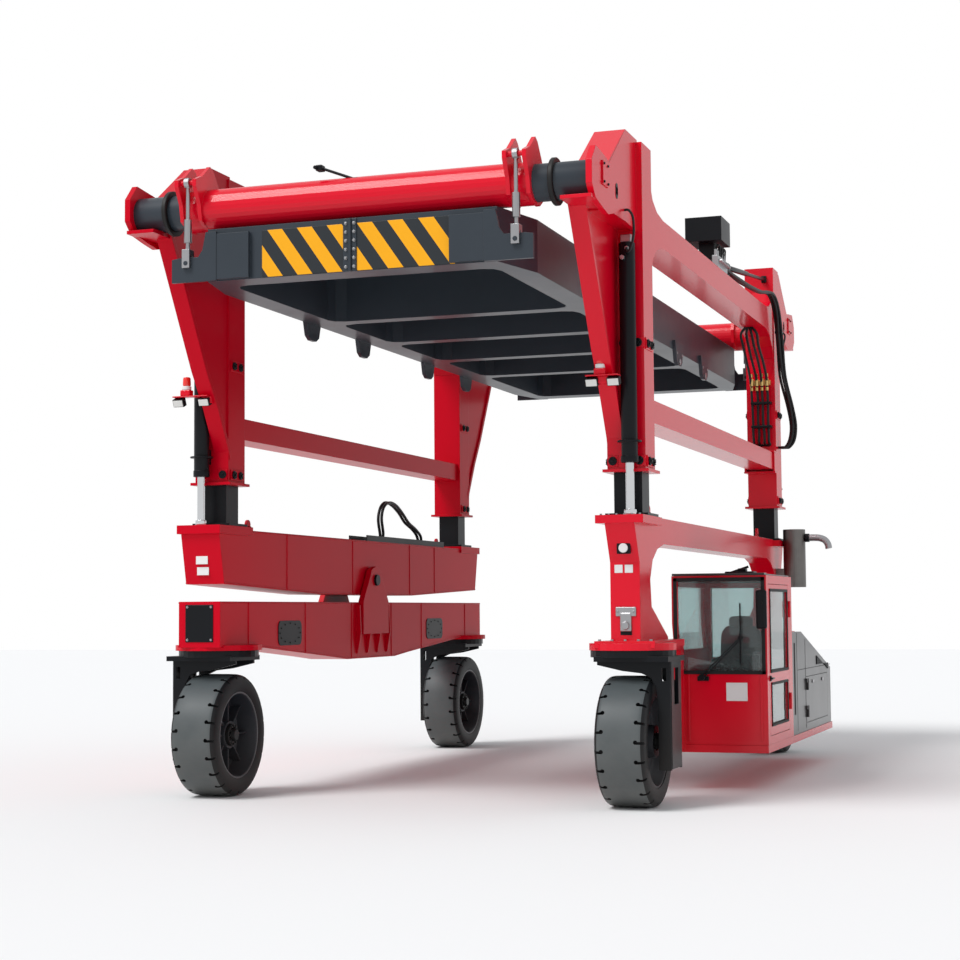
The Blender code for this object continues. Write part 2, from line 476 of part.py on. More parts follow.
# ---- bundles of hydraulic hose, each held at both ends ---------------------
mast_face = MAST_Y - MAST_SIDE / 2           # the rear masts' faces that look forwards
mast_cheek = LINE_X + MAST_SIDE / 2          # and the faces that look outwards
deck = TOP_BEAM_Z[1]
node("hose_bundle_mast", "black",
     hose([(1.97, 2.42, TOP_BEAM_Z[0] - GAP), (1.97, 2.42, 4.87), (1.975, 2.52, 4.74), (1.98, 2.72, 4.58),
           (1.985, 2.90, 4.40), (1.99, mast_face - 0.07, 4.15), (1.995, mast_face - 0.07, 3.90),
           (2.0, mast_face - 0.085, 3.76), (2.0, mast_face - 0.08, 3.66), (2.0, mast_face - 0.045, 3.62),
           (2.0, mast_face - GAP, 3.62)],
          HOSE_BUNDLE_R))
node("hose_bundle_beam", "black",
     hose([(2.0, 0.46, deck + GAP), (2.0, 0.46, deck + 0.07), (2.03, 0.58, deck + 0.12), (2.08, 0.95, deck + 0.09),
           (2.13, 1.60, deck + 0.08), (2.16, 2.20, deck + 0.11), (2.20, 2.62, deck + 0.15),
           (2.225, 2.84, deck - 0.02), (2.225, 3.0, 4.85), (2.235, 3.12, 4.45), (2.30, 3.19, 4.10),
           (2.33, 3.20, 3.86), (2.315, 3.20, 3.69), (2.26, 3.20, 3.61), (2.21, 3.20, 3.60),
           (mast_cheek + GAP, 3.20, 3.60)],
          HOSE_BUNDLE_R))
tray = [(-2.08, 2.46 + GAP), (-1.86, 2.46 + GAP), (-1.86, 2.53), (-1.872, 2.53), (-1.872, TRAY_FLOOR),
        (-2.068, TRAY_FLOOR), (-2.068, 2.53), (-2.08, 2.53)]
node("hose_tray_left", "black", prism(tray, "y", (0.10, 2.55)))
node("hose_loop_left", "black",
     hose([(-1.95, 0.74, TRAY_FLOOR + GAP), (-1.95, 0.74, TRAY_FLOOR + 0.10), (-1.95, 0.69, 2.74), (-1.95, 0.76, 2.87),
           (-1.95, 0.92, 2.93), (-1.95, 1.12, 2.91), (-1.95, 1.32, 2.83), (-1.95, 1.52, 2.73),
           (-1.95, 1.74, 2.66), (-1.95, 1.90, 2.60), (-1.95, 1.95, TRAY_FLOOR + 0.06), (-1.95, 1.95, TRAY_FLOOR + GAP)],
          0.035))
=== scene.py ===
# %% [markdown]
# Straddle carrier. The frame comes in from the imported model, and this script gives every piece its finish
# and adds the fittings that are too small or too soft in shape for the frame: bolts, hoses, glass, tread.
# The model is in metres with +Z up, the cab is on +X, and the leading end is on -Y.

# %% Load the frame
import math
import random

import bmesh
import bpy
from mathutils import Matrix, Vector


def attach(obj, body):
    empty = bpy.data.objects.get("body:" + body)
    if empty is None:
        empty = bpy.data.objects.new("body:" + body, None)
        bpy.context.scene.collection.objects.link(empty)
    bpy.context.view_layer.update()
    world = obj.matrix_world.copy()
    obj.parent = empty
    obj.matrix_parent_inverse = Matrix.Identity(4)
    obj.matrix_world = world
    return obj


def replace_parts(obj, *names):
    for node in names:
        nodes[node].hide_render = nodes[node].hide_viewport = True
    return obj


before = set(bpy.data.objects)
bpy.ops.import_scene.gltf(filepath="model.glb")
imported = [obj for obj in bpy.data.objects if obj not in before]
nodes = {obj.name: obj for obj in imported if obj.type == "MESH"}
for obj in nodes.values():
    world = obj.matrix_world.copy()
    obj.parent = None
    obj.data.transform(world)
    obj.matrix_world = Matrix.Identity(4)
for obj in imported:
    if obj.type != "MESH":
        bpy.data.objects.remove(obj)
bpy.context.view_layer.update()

# %% [markdown]
# The corners are named for where they stand. MID is the line halfway between the masts: it lies left of the
# origin, because the cab widens the footprint on its own side.

# %% Places
MID = -0.245
LINE = 1.985          # masts and wheels stand this far from the middle line
MAST_Y, STEER_Y = 3.20, 3.22
BAR_Y, BAR_Z = 4.58, 5.16
TYRE_R, TYRE_W, RIM_R = 0.56, 0.44, 0.395
CORNERS = (("front_right", 1, -1), ("front_left", -1, -1), ("rear_right", 1, 1), ("rear_left", -1, 1))


def at(x, y, z):
    """A place measured from the line between the masts, in the frame's own coordinates."""
    return Vector((x + MID, y, z))


# %% [markdown]
# The camera stands low and off to the right of the leading end, so both side frames show. A long lens keeps
# the far masts nearly as tall as the near ones.

# %% Camera
YAW, PITCH, ROLL = math.radians(18.98), math.radians(4.02), math.radians(-0.4357)
ahead = Vector((-math.sin(YAW) * math.cos(PITCH), math.cos(YAW) * math.cos(PITCH), math.sin(PITCH)))
level = ahead.cross(Vector((0, 0, 1))).normalized()
over = level.cross(ahead)
right = math.cos(ROLL) * level + math.sin(ROLL) * over
up = right.cross(ahead)
lens = bpy.data.cameras.new("camera")
lens.sensor_width, lens.lens = 36, 70.27
lens.clip_end = 200
camera = bpy.data.objects.new("camera", lens)
camera.matrix_world = Matrix.Translation((5.778, -18.99, 1.6787)) @ Matrix((
    (right.x, up.x, -ahead.x), (right.y, up.y, -ahead.y), (right.z, up.z, -ahead.z))).to_4x4()
bpy.context.scene.collection.objects.link(camera)
bpy.context.scene.camera = camera
print("camera looks along", [round(v, 3) for v in ahead])

# %% [markdown]
# A finish is a Principled BSDF fed by patterns that read Object coordinates, so they stay put when a piece
# moves. Effects that several finishes share are node groups: each puts out a mask or a normal, and the
# material decides what the mask does.

# %% A helper for node trees
def wire(tree, kind, inputs=(), **settings):
    """Adds a node, sets its properties and fills its inputs with values or with other nodes' outputs."""
    made = tree.nodes.new(kind)
    for name, value in settings.items():
        setattr(made, name, value)
    for name, value in dict(inputs).items():
        if isinstance(value, bpy.types.NodeSocket):
            tree.links.new(value, made.inputs[name])
        else:
            made.inputs[name].default_value = value
    return made


def mixed_colour(tree, factor, first, second):
    """Adds a colour mix between two colours or other nodes' colours, and gives its output."""
    made = tree.nodes.new("ShaderNodeMix")
    made.data_type = "RGBA"
    for slot, value in ((0, factor), (6, first), (7, second)):
        if isinstance(value, bpy.types.NodeSocket):
            tree.links.new(value, made.inputs[slot])
        else:
            made.inputs[slot].default_value = (*value, 1)
    return made.outputs[2]


def group(name, inputs, outputs):
    """Starts a node group: the tree, its input node and its output node."""
    tree = bpy.data.node_groups.new(name, "ShaderNodeTree")
    for title, value in inputs:
        tree.interface.new_socket(title, in_out="INPUT", socket_type="NodeSocketFloat").default_value = value
    for title, kind in outputs:
        tree.interface.new_socket(title, in_out="OUTPUT", socket_type=kind)
    return tree, tree.nodes.new("NodeGroupInput"), tree.nodes.new("NodeGroupOutput")


# %% [markdown]
# Painted plate is never one even colour. Slow clouds of dust and sun fade it, low parts carry road dirt,
# and the film of paint ripples slightly, which breaks up the highlights on wide plates.

# %% Weathering group: clouds, speckle and low dirt
weather, into, out = group("weathering", (("Scale", 1.0), ("Dirt Height", 1.0), ("Dirt", 0.3)),
                           (("Clouds", "NodeSocketFloat"), ("Speckle", "NodeSocketFloat"),
                            ("Low Dirt", "NodeSocketFloat"), ("Streaks", "NodeSocketFloat")))
place = weather.nodes.new("ShaderNodeTexCoord")
clouds = wire(weather, "ShaderNodeTexNoise", {"Vector": place.outputs["Object"], "Scale": into.outputs["Scale"],
                                              "Detail": 6.0, "Roughness": 0.6})
fine = wire(weather, "ShaderNodeTexNoise", {"Vector": place.outputs["Object"], "Scale": 90.0, "Detail": 3.0})
speck = wire(weather, "ShaderNodeMapRange", {"Value": fine.outputs["Fac"], "From Min": 0.62, "From Max": 0.75})
split = wire(weather, "ShaderNodeSeparateXYZ", {"Vector": place.outputs["Object"]})
low = wire(weather, "ShaderNodeMapRange", {"Value": split.outputs["Z"], "From Min": into.outputs["Dirt Height"],
                                           "From Max": 0.0, "To Max": into.outputs["Dirt"]})
broken = wire(weather, "ShaderNodeMath", {0: low.outputs["Result"], 1: clouds.outputs["Fac"]},
              operation="MULTIPLY")
squeeze = wire(weather, "ShaderNodeMapping", {"Vector": place.outputs["Object"], "Scale": (14.0, 14.0, 0.8)})
runs = wire(weather, "ShaderNodeTexNoise", {"Vector": squeeze.outputs["Vector"], "Scale": 1.0, "Detail": 4.0})
drips = wire(weather, "ShaderNodeMapRange", {"Value": runs.outputs["Fac"], "From Min": 0.5, "From Max": 0.8})
for title, source in (("Clouds", clouds.outputs["Fac"]), ("Speckle", speck.outputs["Result"]),
                      ("Low Dirt", broken.outputs[0]), ("Streaks", drips.outputs["Result"])):
    weather.links.new(source, out.inputs[title])
print("weathering gives", [s.name for s in out.inputs if s.name])

# %% [markdown]
# The edges of plate are rolled and ground, not knife sharp. A Bevel node bends the normal near an edge,
# which catches the light there without adding any faces, and a fine noise on top gives the orange peel of
# paint.

# %% Soft-edge group: a rounded normal with a fine ripple
soft, into, out = group("soft_edges", (("Radius", 0.006), ("Ripple", 0.1), ("Ripple Scale", 120.0)),
                        (("Normal", "NodeSocketVector"), ("Edge", "NodeSocketFloat")))
rounded = wire(soft, "ShaderNodeBevel", {"Radius": into.outputs["Radius"]}, samples=4)
place = soft.nodes.new("ShaderNodeTexCoord")
peel = wire(soft, "ShaderNodeTexNoise", {"Vector": place.outputs["Object"], "Scale": into.outputs["Ripple Scale"],
                                         "Detail": 2.0})
bump = wire(soft, "ShaderNodeBump", {"Height": peel.outputs["Fac"], "Strength": into.outputs["Ripple"],
                                     "Distance": 0.001, "Normal": rounded.outputs["Normal"]})
true = soft.nodes.new("ShaderNodeNewGeometry")
same = wire(soft, "ShaderNodeVectorMath", {0: rounded.outputs["Normal"], 1: true.outputs["Normal"]},
            operation="DOT_PRODUCT")
edge = wire(soft, "ShaderNodeMapRange", {"Value": same.outputs["Value"], "From Min": 0.995, "From Max": 0.80})
soft.links.new(bump.outputs["Normal"], out.inputs["Normal"])
soft.links.new(edge.outputs["Result"], out.inputs["Edge"])
print("soft_edges ready")


# %% [markdown]
# One function builds each finish from its colour, its worn colour and how dirty it is. The metal and glass
# ones start from the same place with other values.

# %% Finishes
ROAD_DIRT, BARE_METAL, BAND_BLACK = (0.20, 0.17, 0.14), (0.3, 0.3, 0.3), (0.022, 0.026, 0.030)


def finish(name, colour, rough, metallic=0.0, coat=0.0, worn=None, wear=0.0, dirt=0.25, scale=1.2, vary=0.25,
           radius=0.006, ripple=0.1, ripple_scale=120.0, shine=0.3, uneven=0.25):
    """A weathered material: its colour varies by vary, its low parts carry dirt and its edges show wear."""
    made = bpy.data.materials.new(name)
    made.use_nodes = True
    tree = made.node_tree
    shader = tree.nodes["Principled BSDF"]
    shader.inputs["Metallic"].default_value = metallic
    shader.inputs["Coat Weight"].default_value = coat
    shader.inputs["Coat Roughness"].default_value = 0.08
    shader.inputs["Specular IOR Level"].default_value = shine
    spots = wire(tree, "ShaderNodeGroup", node_tree=weather)
    spots.inputs["Scale"].default_value = scale
    spots.inputs["Dirt"].default_value = dirt
    edges = wire(tree, "ShaderNodeGroup", node_tree=soft)
    edges.inputs["Radius"].default_value = radius
    edges.inputs["Ripple"].default_value = ripple
    edges.inputs["Ripple Scale"].default_value = ripple_scale
    dark = tuple(c * (1 - vary) for c in colour)
    light = tuple(min(1.0, c * (1 + vary * 0.5)) for c in colour)
    body = mixed_colour(tree, spots.outputs["Clouds"], dark, light)
    top = mixed_colour(tree, spots.outputs["Low Dirt"], body, ROAD_DIRT)
    if wear:
        rub = wire(tree, "ShaderNodeMath", {0: edges.outputs["Edge"], 1: wear}, operation="MULTIPLY")
        chip = wire(tree, "ShaderNodeMath", {0: rub.outputs[0], 1: spots.outputs["Clouds"]},
                    operation="MULTIPLY")
        top = mixed_colour(tree, chip.outputs[0], top, worn or BARE_METAL)
    tree.links.new(top, shader.inputs["Base Color"])
    gloss = wire(tree, "ShaderNodeMapRange", {"Value": spots.outputs["Clouds"], "To Min": rough * (1 - uneven),
                                              "To Max": min(1.0, rough * (1 + uneven))})
    tree.links.new(gloss.outputs["Result"], shader.inputs["Roughness"])
    tree.links.new(edges.outputs["Normal"], shader.inputs["Normal"])
    return made


FINISHES = {
    "frame_red": finish("frame_red", (0.74, 0.0006, 0.018), 0.24, coat=0.14, worn=(0.80, 0.06, 0.08),
                        wear=0.22, vary=0.06, ripple=0.03, shine=0.24, scale=0.5, uneven=0.05),
    # The second red is the first one made darker and less glossy: it is painted shade, given to the pieces on the
    # left side, which stand in shade.
    "painted_shade_red": finish("painted_shade_red", (0.60, 0.0004, 0.014), 0.30, coat=0.04, worn=(0.66, 0.04, 0.05),
                         wear=0.18, vary=0.10, ripple=0.03, shine=0.08, scale=0.5, uneven=0.05),
    "spreader_charcoal": finish("spreader_charcoal", (0.030, 0.040, 0.052), 0.42, coat=0.1,
                                worn=(0.12, 0.13, 0.14), wear=0.5, vary=0.25),
    "machine_black": finish("machine_black", (0.006, 0.007, 0.009), 0.34, coat=0.03, worn=(0.07, 0.07, 0.07),
                            wear=0.5, shine=0.16),
    "rod_chrome": finish("rod_chrome", (0.78, 0.79, 0.80), 0.10, metallic=1.0, vary=0.08, dirt=0.05,
                         ripple=0.02),
    "tyre_rubber": finish("tyre_rubber", (0.009, 0.010, 0.012), 0.50, worn=(0.05, 0.05, 0.05), wear=0.6,
                          dirt=0.2, ripple=0.35, ripple_scale=260.0, shine=0.2),
    "tyre_tread": finish("tyre_tread", (0.085, 0.100, 0.105), 0.48, worn=(0.15, 0.16, 0.16), wear=0.5,
                         vary=0.3, dirt=0.5, ripple=0.3, ripple_scale=260.0, scale=3.0),
    "rim_iron": finish("rim_iron", (0.026, 0.030, 0.040), 0.45, metallic=0.2, worn=(0.25, 0.25, 0.25),
                       wear=0.7, dirt=0.4),
    "link_steel": finish("link_steel", (0.42, 0.42, 0.43), 0.34, metallic=1.0, vary=0.2),
    "hood_grey": finish("hood_grey", (0.030, 0.029, 0.031), 0.30, coat=0.2, vary=0.15, worn=(0.3, 0.3, 0.3),
                        wear=0.4),
    "muffler_steel": finish("muffler_steel", (0.20, 0.19, 0.18), 0.40, metallic=0.9, vary=0.35, scale=4.0),
    "seat_cloth": finish("seat_cloth", (0.018, 0.018, 0.020), 0.9, ripple=0.6, ripple_scale=420.0,
                         radius=0.02),
}
print("finishes:", ", ".join(FINISHES))

# %% [markdown]
# Every piece of the frame keeps its shape and takes one of these finishes. The rule is by the first words
# of its name, so the four corners and both ends are covered by one row each.

# %% Finishes for the frame's own pieces
BY_NAME = (  # first words of the name, finish
    # The left side's pieces take the darker red, which paints their shade.
    ("chassis_left", "painted_shade_red"), ("chassis", "frame_red"), ("rocker_beam", "painted_shade_red"),
    ("rocker_pin", "machine_black"), ("outer_mast_front_left", "painted_shade_red"),
    ("outer_mast_rear_left", "painted_shade_red"),
    ("top_beam_left", "painted_shade_red"), ("tie_bar_left", "painted_shade_red"), ("outer_mast", "frame_red"),
    ("inner_mast", "machine_black"), ("lift_barrel", "machine_black"), ("lift_rod", "rod_chrome"),
    ("knuckle", "machine_black"), ("tyre", "tyre_rubber"), ("wheel_rim", "rim_iron"),
    ("hose", "machine_black"), ("spreader_link", "link_steel"), ("top_beam", "frame_red"),
    ("tie_bar", "frame_red"),
    ("cross_bar", "spreader_charcoal"), ("shift_sleeve", "frame_red"), ("spreader", "spreader_charcoal"),
    ("platform", "frame_red"), ("cab", "frame_red"), ("driver_seat", "seat_cloth"),
    ("engine_block", "rim_iron"),
    ("engine", "hood_grey"), ("muffler", "muffler_steel"), ("control_box", "machine_black"),
)
for name, piece in nodes.items():
    chosen = next(row for row in BY_NAME if name.startswith(row[0]))
    piece.data.materials.clear()
    piece.data.materials.append(FINISHES[chosen[1]])
print("finished", len(nodes), "frame pieces")


# %% [markdown]
# New pieces share one way of being made: a bmesh is shaped with operators, then written to an object that
# sits at the origin and rides on a body of the frame.

# %% Shaping helpers
def edges_of(verts):
    """The edges at some vertices, each once and always in the same order."""
    return list(dict.fromkeys(e for v in verts for e in v.link_edges))


def placed(mesh, matrix, shape, *sizes, **options):
    """Adds a shape to a mesh and moves only that shape."""
    before = set(mesh.verts)
    shape(mesh, *sizes, **options)
    bmesh.ops.transform(mesh, matrix=matrix, verts=[v for v in mesh.verts if v not in before])


def circle(count, radius, start=0.0):
    """Places evenly round a circle, as pairs of coordinates."""
    angles = [2 * math.pi * (k + start) / count for k in range(count)]
    return [(radius * math.cos(a), radius * math.sin(a)) for a in angles]


def block(mesh, low, high, bevel=0.0, segments=2):
    """A box between two corners with its edges rounded."""
    made = bmesh.ops.create_cube(mesh, size=1)["verts"]
    low, high = Vector(low), Vector(high)
    bmesh.ops.scale(mesh, vec=high - low, verts=made)
    bmesh.ops.translate(mesh, vec=(low + high) / 2, verts=made)
    if bevel:
        bmesh.ops.bevel(mesh, geom=edges_of(made), offset=bevel, segments=segments, profile=0.5, affect="EDGES",
                        material=-1, clamp_overlap=True)


def drum(mesh, start, end, radius, radius_end=None, sides=24, bevel=0.0):
    """A round bar or cone between two points."""
    start, end = Vector(start), Vector(end)
    axis = end - start
    turn = Vector((0, 0, 1)).rotation_difference(axis).to_matrix().to_4x4()
    made = bmesh.ops.create_cone(mesh, cap_ends=True, segments=sides, radius1=radius,
                                 radius2=radius if radius_end is None else radius_end, depth=axis.length,
                                 matrix=Matrix.Translation((start + end) / 2) @ turn)["verts"]
    if bevel:
        rims = [e for e in edges_of(made)
                if len({round((w.co - start).dot(axis.normalized()), 5) for w in e.verts}) == 1]
        bmesh.ops.bevel(mesh, geom=rims, offset=bevel, segments=2, profile=0.5, affect="EDGES", material=-1,
                        clamp_overlap=True)


def finished(mesh, name, body, paint, smooth=False):
    """Writes the bmesh to an object that rides on a body."""
    bmesh.ops.recalc_face_normals(mesh, faces=mesh.faces)
    data = bpy.data.meshes.new(name)
    mesh.to_mesh(data)
    mesh.free()
    if smooth:
        data.shade_smooth()
        data.set_sharp_from_angle(angle=math.radians(35))
    piece = bpy.data.objects.new(name, data)
    bpy.context.scene.collection.objects.link(piece)
    data.materials.append(FINISHES[paint] if isinstance(paint, str) else paint)
    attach(piece, body)
    return piece

# %% [markdown]
# The ends of the spreader carry hazard boards: yellow plates with black bands that lean over to the right
# as they drop. The bands are one sawtooth across the plate, cut hard by a threshold, so they stay sharp at
# any distance. Slight fading and scratches keep them from looking printed.

# %% Hazard finish
def hazard_finish(name, slope, period):
    """Yellow plate with black bands that lean by a slope and repeat every period."""
    made = finish(name, (0.95, 0.42, 0.005), 0.38, worn=(0.5, 0.35, 0.2), wear=0.3, vary=0.12, dirt=0.1)
    tree = made.node_tree
    shader = tree.nodes["Principled BSDF"]
    under = shader.inputs["Base Color"].links[0].from_socket
    place = tree.nodes.new("ShaderNodeTexCoord")
    split = wire(tree, "ShaderNodeSeparateXYZ", {"Vector": place.outputs["Object"]})
    lean = wire(tree, "ShaderNodeMath", {0: split.outputs["Z"], 1: slope, 2: split.outputs["X"]},
                operation="MULTIPLY_ADD")
    turns = wire(tree, "ShaderNodeMath", {0: lean.outputs[0], 1: period}, operation="DIVIDE")
    saw = wire(tree, "ShaderNodeMath", {0: turns.outputs[0]}, operation="FRACT")
    band = wire(tree, "ShaderNodeMath", {0: saw.outputs[0], 1: 0.5}, operation="GREATER_THAN")
    painted = mixed_colour(tree, band.outputs[0], under, BAND_BLACK)
    tree.links.new(painted, shader.inputs["Base Color"])
    return made


BAND_SLOPE, BAND_PERIOD = 0.70, 0.272
FINISHES["hazard_front"] = hazard_finish("hazard_front", BAND_SLOPE, BAND_PERIOD)
FINISHES["hazard_rear"] = hazard_finish("hazard_rear", -BAND_SLOPE, BAND_PERIOD)
print("hazard bands repeat every", BAND_PERIOD, "m")

# %% [markdown]
# Two boards and a bolted splice stand on each end plate. The spreader is 9.6 m long and its end plates are
# bolted together in the middle, so the splice has two rows of bolt heads.

# %% Hazard boards, splices and their bolts
SPREADER_END = 4.79
Z_LOW, Z_HIGH = 4.505, 4.905


def bolt(mesh, foot, axis, size=0.014, head=0.010):
    """A hexagon head on a washer, standing on a face and pointing along an axis."""
    foot, axis = Vector(foot), Vector(axis)
    drum(mesh, foot, foot + axis * head * 0.25, size * 1.25, sides=12)
    drum(mesh, foot + axis * head * 0.25, foot + axis * head * 1.25, size, sides=6, bevel=size * 0.12)


for end, sy, paint in (("front", -1, "hazard_front"), ("rear", 1, "hazard_rear")):
    y0 = sy * SPREADER_END
    for side, x0, x1 in (("left", -0.79, -0.045), ("right", 0.075, 0.94)):
        mesh = bmesh.new()
        low, high = at(x0, min(y0, y0 + sy * 0.004), Z_LOW), at(x1, max(y0, y0 + sy * 0.004), Z_HIGH)
        block(mesh, low, high, 0.0015, 1)
        finished(mesh, f"hazard_board_{end}_{side}", "carriage", paint)
    mesh = bmesh.new()
    for x0, x1, out in ((-0.045, 0.008, 0.012), (0.008, 0.030, 0.028), (0.030, 0.075, 0.012)):
        block(mesh, at(x0, min(y0, y0 + sy * out), 4.50), at(x1, max(y0, y0 + sy * out), 4.945), 0.002, 1)
    finished(mesh, f"splice_plate_{end}", "carriage", "spreader_charcoal")
    mesh = bmesh.new()
    for x in (-0.02, 0.053):
        for k in range(6):
            bolt(mesh, at(x, y0 + sy * 0.012, 4.54 + 0.073 * k), (0, sy, 0), 0.012, 0.010)
    finished(mesh, f"splice_bolts_{end}", "carriage", "link_steel")
print("boards at y", -SPREADER_END, "and", SPREADER_END)

# %% [markdown]
# A solid industrial tyre is a smooth band with short hooked notches in both shoulders. The band is one
# outline spun about the axle; the notches are cut by a Boolean once, and the finished mesh is then copied
# to the four wheels, because cutting is the slow part.

# %% One tyre, with its notches
NOTCHES, NOTCH_R = 21, (0.515, 0.60)
half = ((0.212, RIM_R + 0.002), (0.220, 0.430), (0.220, 0.500), (0.214, 0.524), (0.204, 0.540), (0.188, 0.552),
        (0.160, 0.558), (0.08, 0.560))
outline = [(-x, r) for x, r in half] + [(x, r) for x, r in reversed(half)]


def spun(outline, steps=96):
    """An outline of (x, radius) points spun about the X axis into a closed ring."""
    mesh = bmesh.new()
    ring = [mesh.verts.new((x, 0, r)) for x, r in outline]
    edges = [mesh.edges.new(pair) for pair in zip(ring, ring[1:] + ring[:1])]
    bmesh.ops.spin(mesh, geom=ring + edges, axis=(1, 0, 0), cent=(0, 0, 0), steps=steps, angle=2 * math.pi,
                   use_merge=True)
    bmesh.ops.remove_doubles(mesh, verts=mesh.verts, dist=1e-5)
    bmesh.ops.recalc_face_normals(mesh, faces=mesh.faces)
    return mesh


def plain_object(mesh, name):
    """Writes the bmesh to an object with no body or finish, for the Boolean."""
    data = bpy.data.meshes.new(name)
    mesh.to_mesh(data)
    mesh.free()
    made = bpy.data.objects.new(name, data)
    bpy.context.scene.collection.objects.link(made)
    return made


band = plain_object(spun(outline), "tyre_band")
mesh = bmesh.new()
for side in (-1, 1):
    for k in range(NOTCHES):
        turn = Matrix.Rotation(2 * math.pi * (k + (0.5 if side > 0 else 0)) / NOTCHES, 4, "X")
        # a slot in from the side, and a hook at its inner end
        near, far = sorted((side * 0.145, side * 0.30))
        placed(mesh, turn, block, (near, -0.011, NOTCH_R[0]), (far, 0.011, NOTCH_R[1]), 0.004, 1)
        placed(mesh, turn, drum, (side * 0.148, 0.006, NOTCH_R[0]), (side * 0.148, 0.006, NOTCH_R[1]), 0.018,
               sides=14)
knives = plain_object(mesh, "notch_knives")
cut = band.modifiers.new("notches", "BOOLEAN")
cut.operation, cut.solver, cut.object, cut.use_self = "DIFFERENCE", "EXACT", knives, True
bpy.context.view_layer.update()
tyre_mesh = bpy.data.meshes.new_from_object(band.evaluated_get(bpy.context.evaluated_depsgraph_get()))
for helper in (band, knives):
    bpy.data.objects.remove(helper)
print("tyre:", len(tyre_mesh.polygons), "faces with", 2 * NOTCHES, "notches")

# %% [markdown]
# Each wheel is a deep cast dish with ribs between the lip and the hub, and a bolted hub cap. The knuckle's
# arm is on the outer side, so the dish is mirrored for the two sides.

# %% Tyres, rims and hubs at the four corners
LIP, RIBS = RIM_R + 0.0015, 8
dish = ((-0.205, LIP), (-0.205, LIP - 0.017), (-0.185, LIP - 0.025), (-0.020, LIP - 0.044), (0.000, LIP - 0.062),
        (0.005, 0.150), (-0.060, 0.135), (-0.118, 0.125), (-0.118, 0.080), (0.195, 0.080), (0.195, 0.135),
        (0.095, 0.150), (0.085, LIP - 0.062), (0.105, LIP - 0.044), (0.185, LIP - 0.025), (0.205, LIP - 0.017),
        (0.205, LIP))
FINISHES["rim_lip"] = finish("rim_lip", (0.16, 0.16, 0.17), 0.35, metallic=0.4, vary=0.2, dirt=0.3)
for corner, sx, sy in CORNERS:
    centre = at(sx * LINE, sy * STEER_Y, TYRE_R)
    mesh = bmesh.new()
    mesh.from_mesh(tyre_mesh)
    bmesh.ops.remove_doubles(mesh, verts=mesh.verts, dist=1e-5)
    bmesh.ops.rotate(mesh, verts=mesh.verts, cent=(0, 0, 0),
                     matrix=Matrix.Rotation(0.11 * (sx + 2 * sy), 3, "X"))
    bmesh.ops.translate(mesh, vec=centre, verts=mesh.verts)
    tyre = finished(mesh, f"tyre_{corner}_tread", f"wheel_{corner}", "tyre_rubber", smooth=True)
    tyre.data.materials.append(FINISHES["tyre_tread"])
    for face in tyre.data.polygons:
        face.material_index = int(abs(face.normal.x) < 0.55 and (face.center - centre).yz.length > 0.545)
    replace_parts(tyre, f"tyre_{corner}")

    mesh = spun([(sx * p, r) for p, r in dish], 72)
    bmesh.ops.translate(mesh, vec=centre, verts=mesh.verts)
    rim = finished(mesh, f"rim_{corner}_dish", f"wheel_{corner}", "rim_iron", smooth=True)
    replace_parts(rim, f"wheel_rim_{corner}")

    mesh = bmesh.new()
    for k in range(RIBS):
        placed(mesh, Matrix.Rotation(2 * math.pi * k / RIBS, 4, "X"), block, (-0.10, -0.007, 0.13),
               (0.002, 0.007, LIP - 0.040), 0.002, 1)
    if sx < 0:
        bmesh.ops.scale(mesh, vec=(-1, 1, 1), verts=mesh.verts)
    bmesh.ops.translate(mesh, vec=centre, verts=mesh.verts)
    finished(mesh, f"rim_{corner}_ribs", f"wheel_{corner}", "rim_iron")

    mesh = spun([(sx * p, r) for p, r in ((-0.206, LIP + 0.001), (-0.212, LIP - 0.002), (-0.212, LIP - 0.010),
                                      (-0.206, LIP - 0.013))], 72)
    bmesh.ops.translate(mesh, vec=centre, verts=mesh.verts)
    finished(mesh, f"rim_{corner}_lip", f"wheel_{corner}", "rim_lip", smooth=True)

    mesh = bmesh.new()
    for near, far, *sizes in ((0.115, 0.150, 0.105, 0.10, 32, 0.004), (0.150, 0.185, 0.060, 0.050, 24, 0.004)):
        drum(mesh, centre - Vector((sx * near, 0, 0)), centre - Vector((sx * far, 0, 0)), *sizes)
    for depth, spots, size, head in ((0.150, circle(12, 0.083), 0.009, 0.010),
                                     (0.001, circle(10, 0.195, 0.5), 0.015, 0.018)):
        for y, z in spots:
            bolt(mesh, centre + Vector((-sx * depth, y, z)), (-sx, 0, 0), size, head)
    finished(mesh, f"hub_{corner}", f"wheel_{corner}", "machine_black")
print("four wheels dressed")

# %% [markdown]
# Glass is a clear shell with a faint green body and a little dust. Rubber seals hold it, and they stand a
# few millimetres proud of the panel, so each pane reads as a separate sheet.

# %% Glass, seals and small finishes
def glass_finish(name, tint, rough):
    """Clear glass with a tint and a little dust."""
    made = bpy.data.materials.new(name)
    made.use_nodes = True
    tree = made.node_tree
    shader = tree.nodes["Principled BSDF"]
    shader.inputs["Transmission Weight"].default_value = 0.92
    shader.inputs["IOR"].default_value = 1.45
    spots = wire(tree, "ShaderNodeGroup", node_tree=weather)
    spots.inputs["Scale"].default_value = 2.0
    body = mixed_colour(tree, spots.outputs["Clouds"], tint, tuple(0.93 * c for c in tint))
    tree.links.new(body, shader.inputs["Base Color"])
    gloss = wire(tree, "ShaderNodeMapRange", {"Value": spots.outputs["Clouds"], "To Min": rough,
                                              "To Max": rough * 2 + 0.01})
    tree.links.new(gloss.outputs["Result"], shader.inputs["Roughness"])
    return made


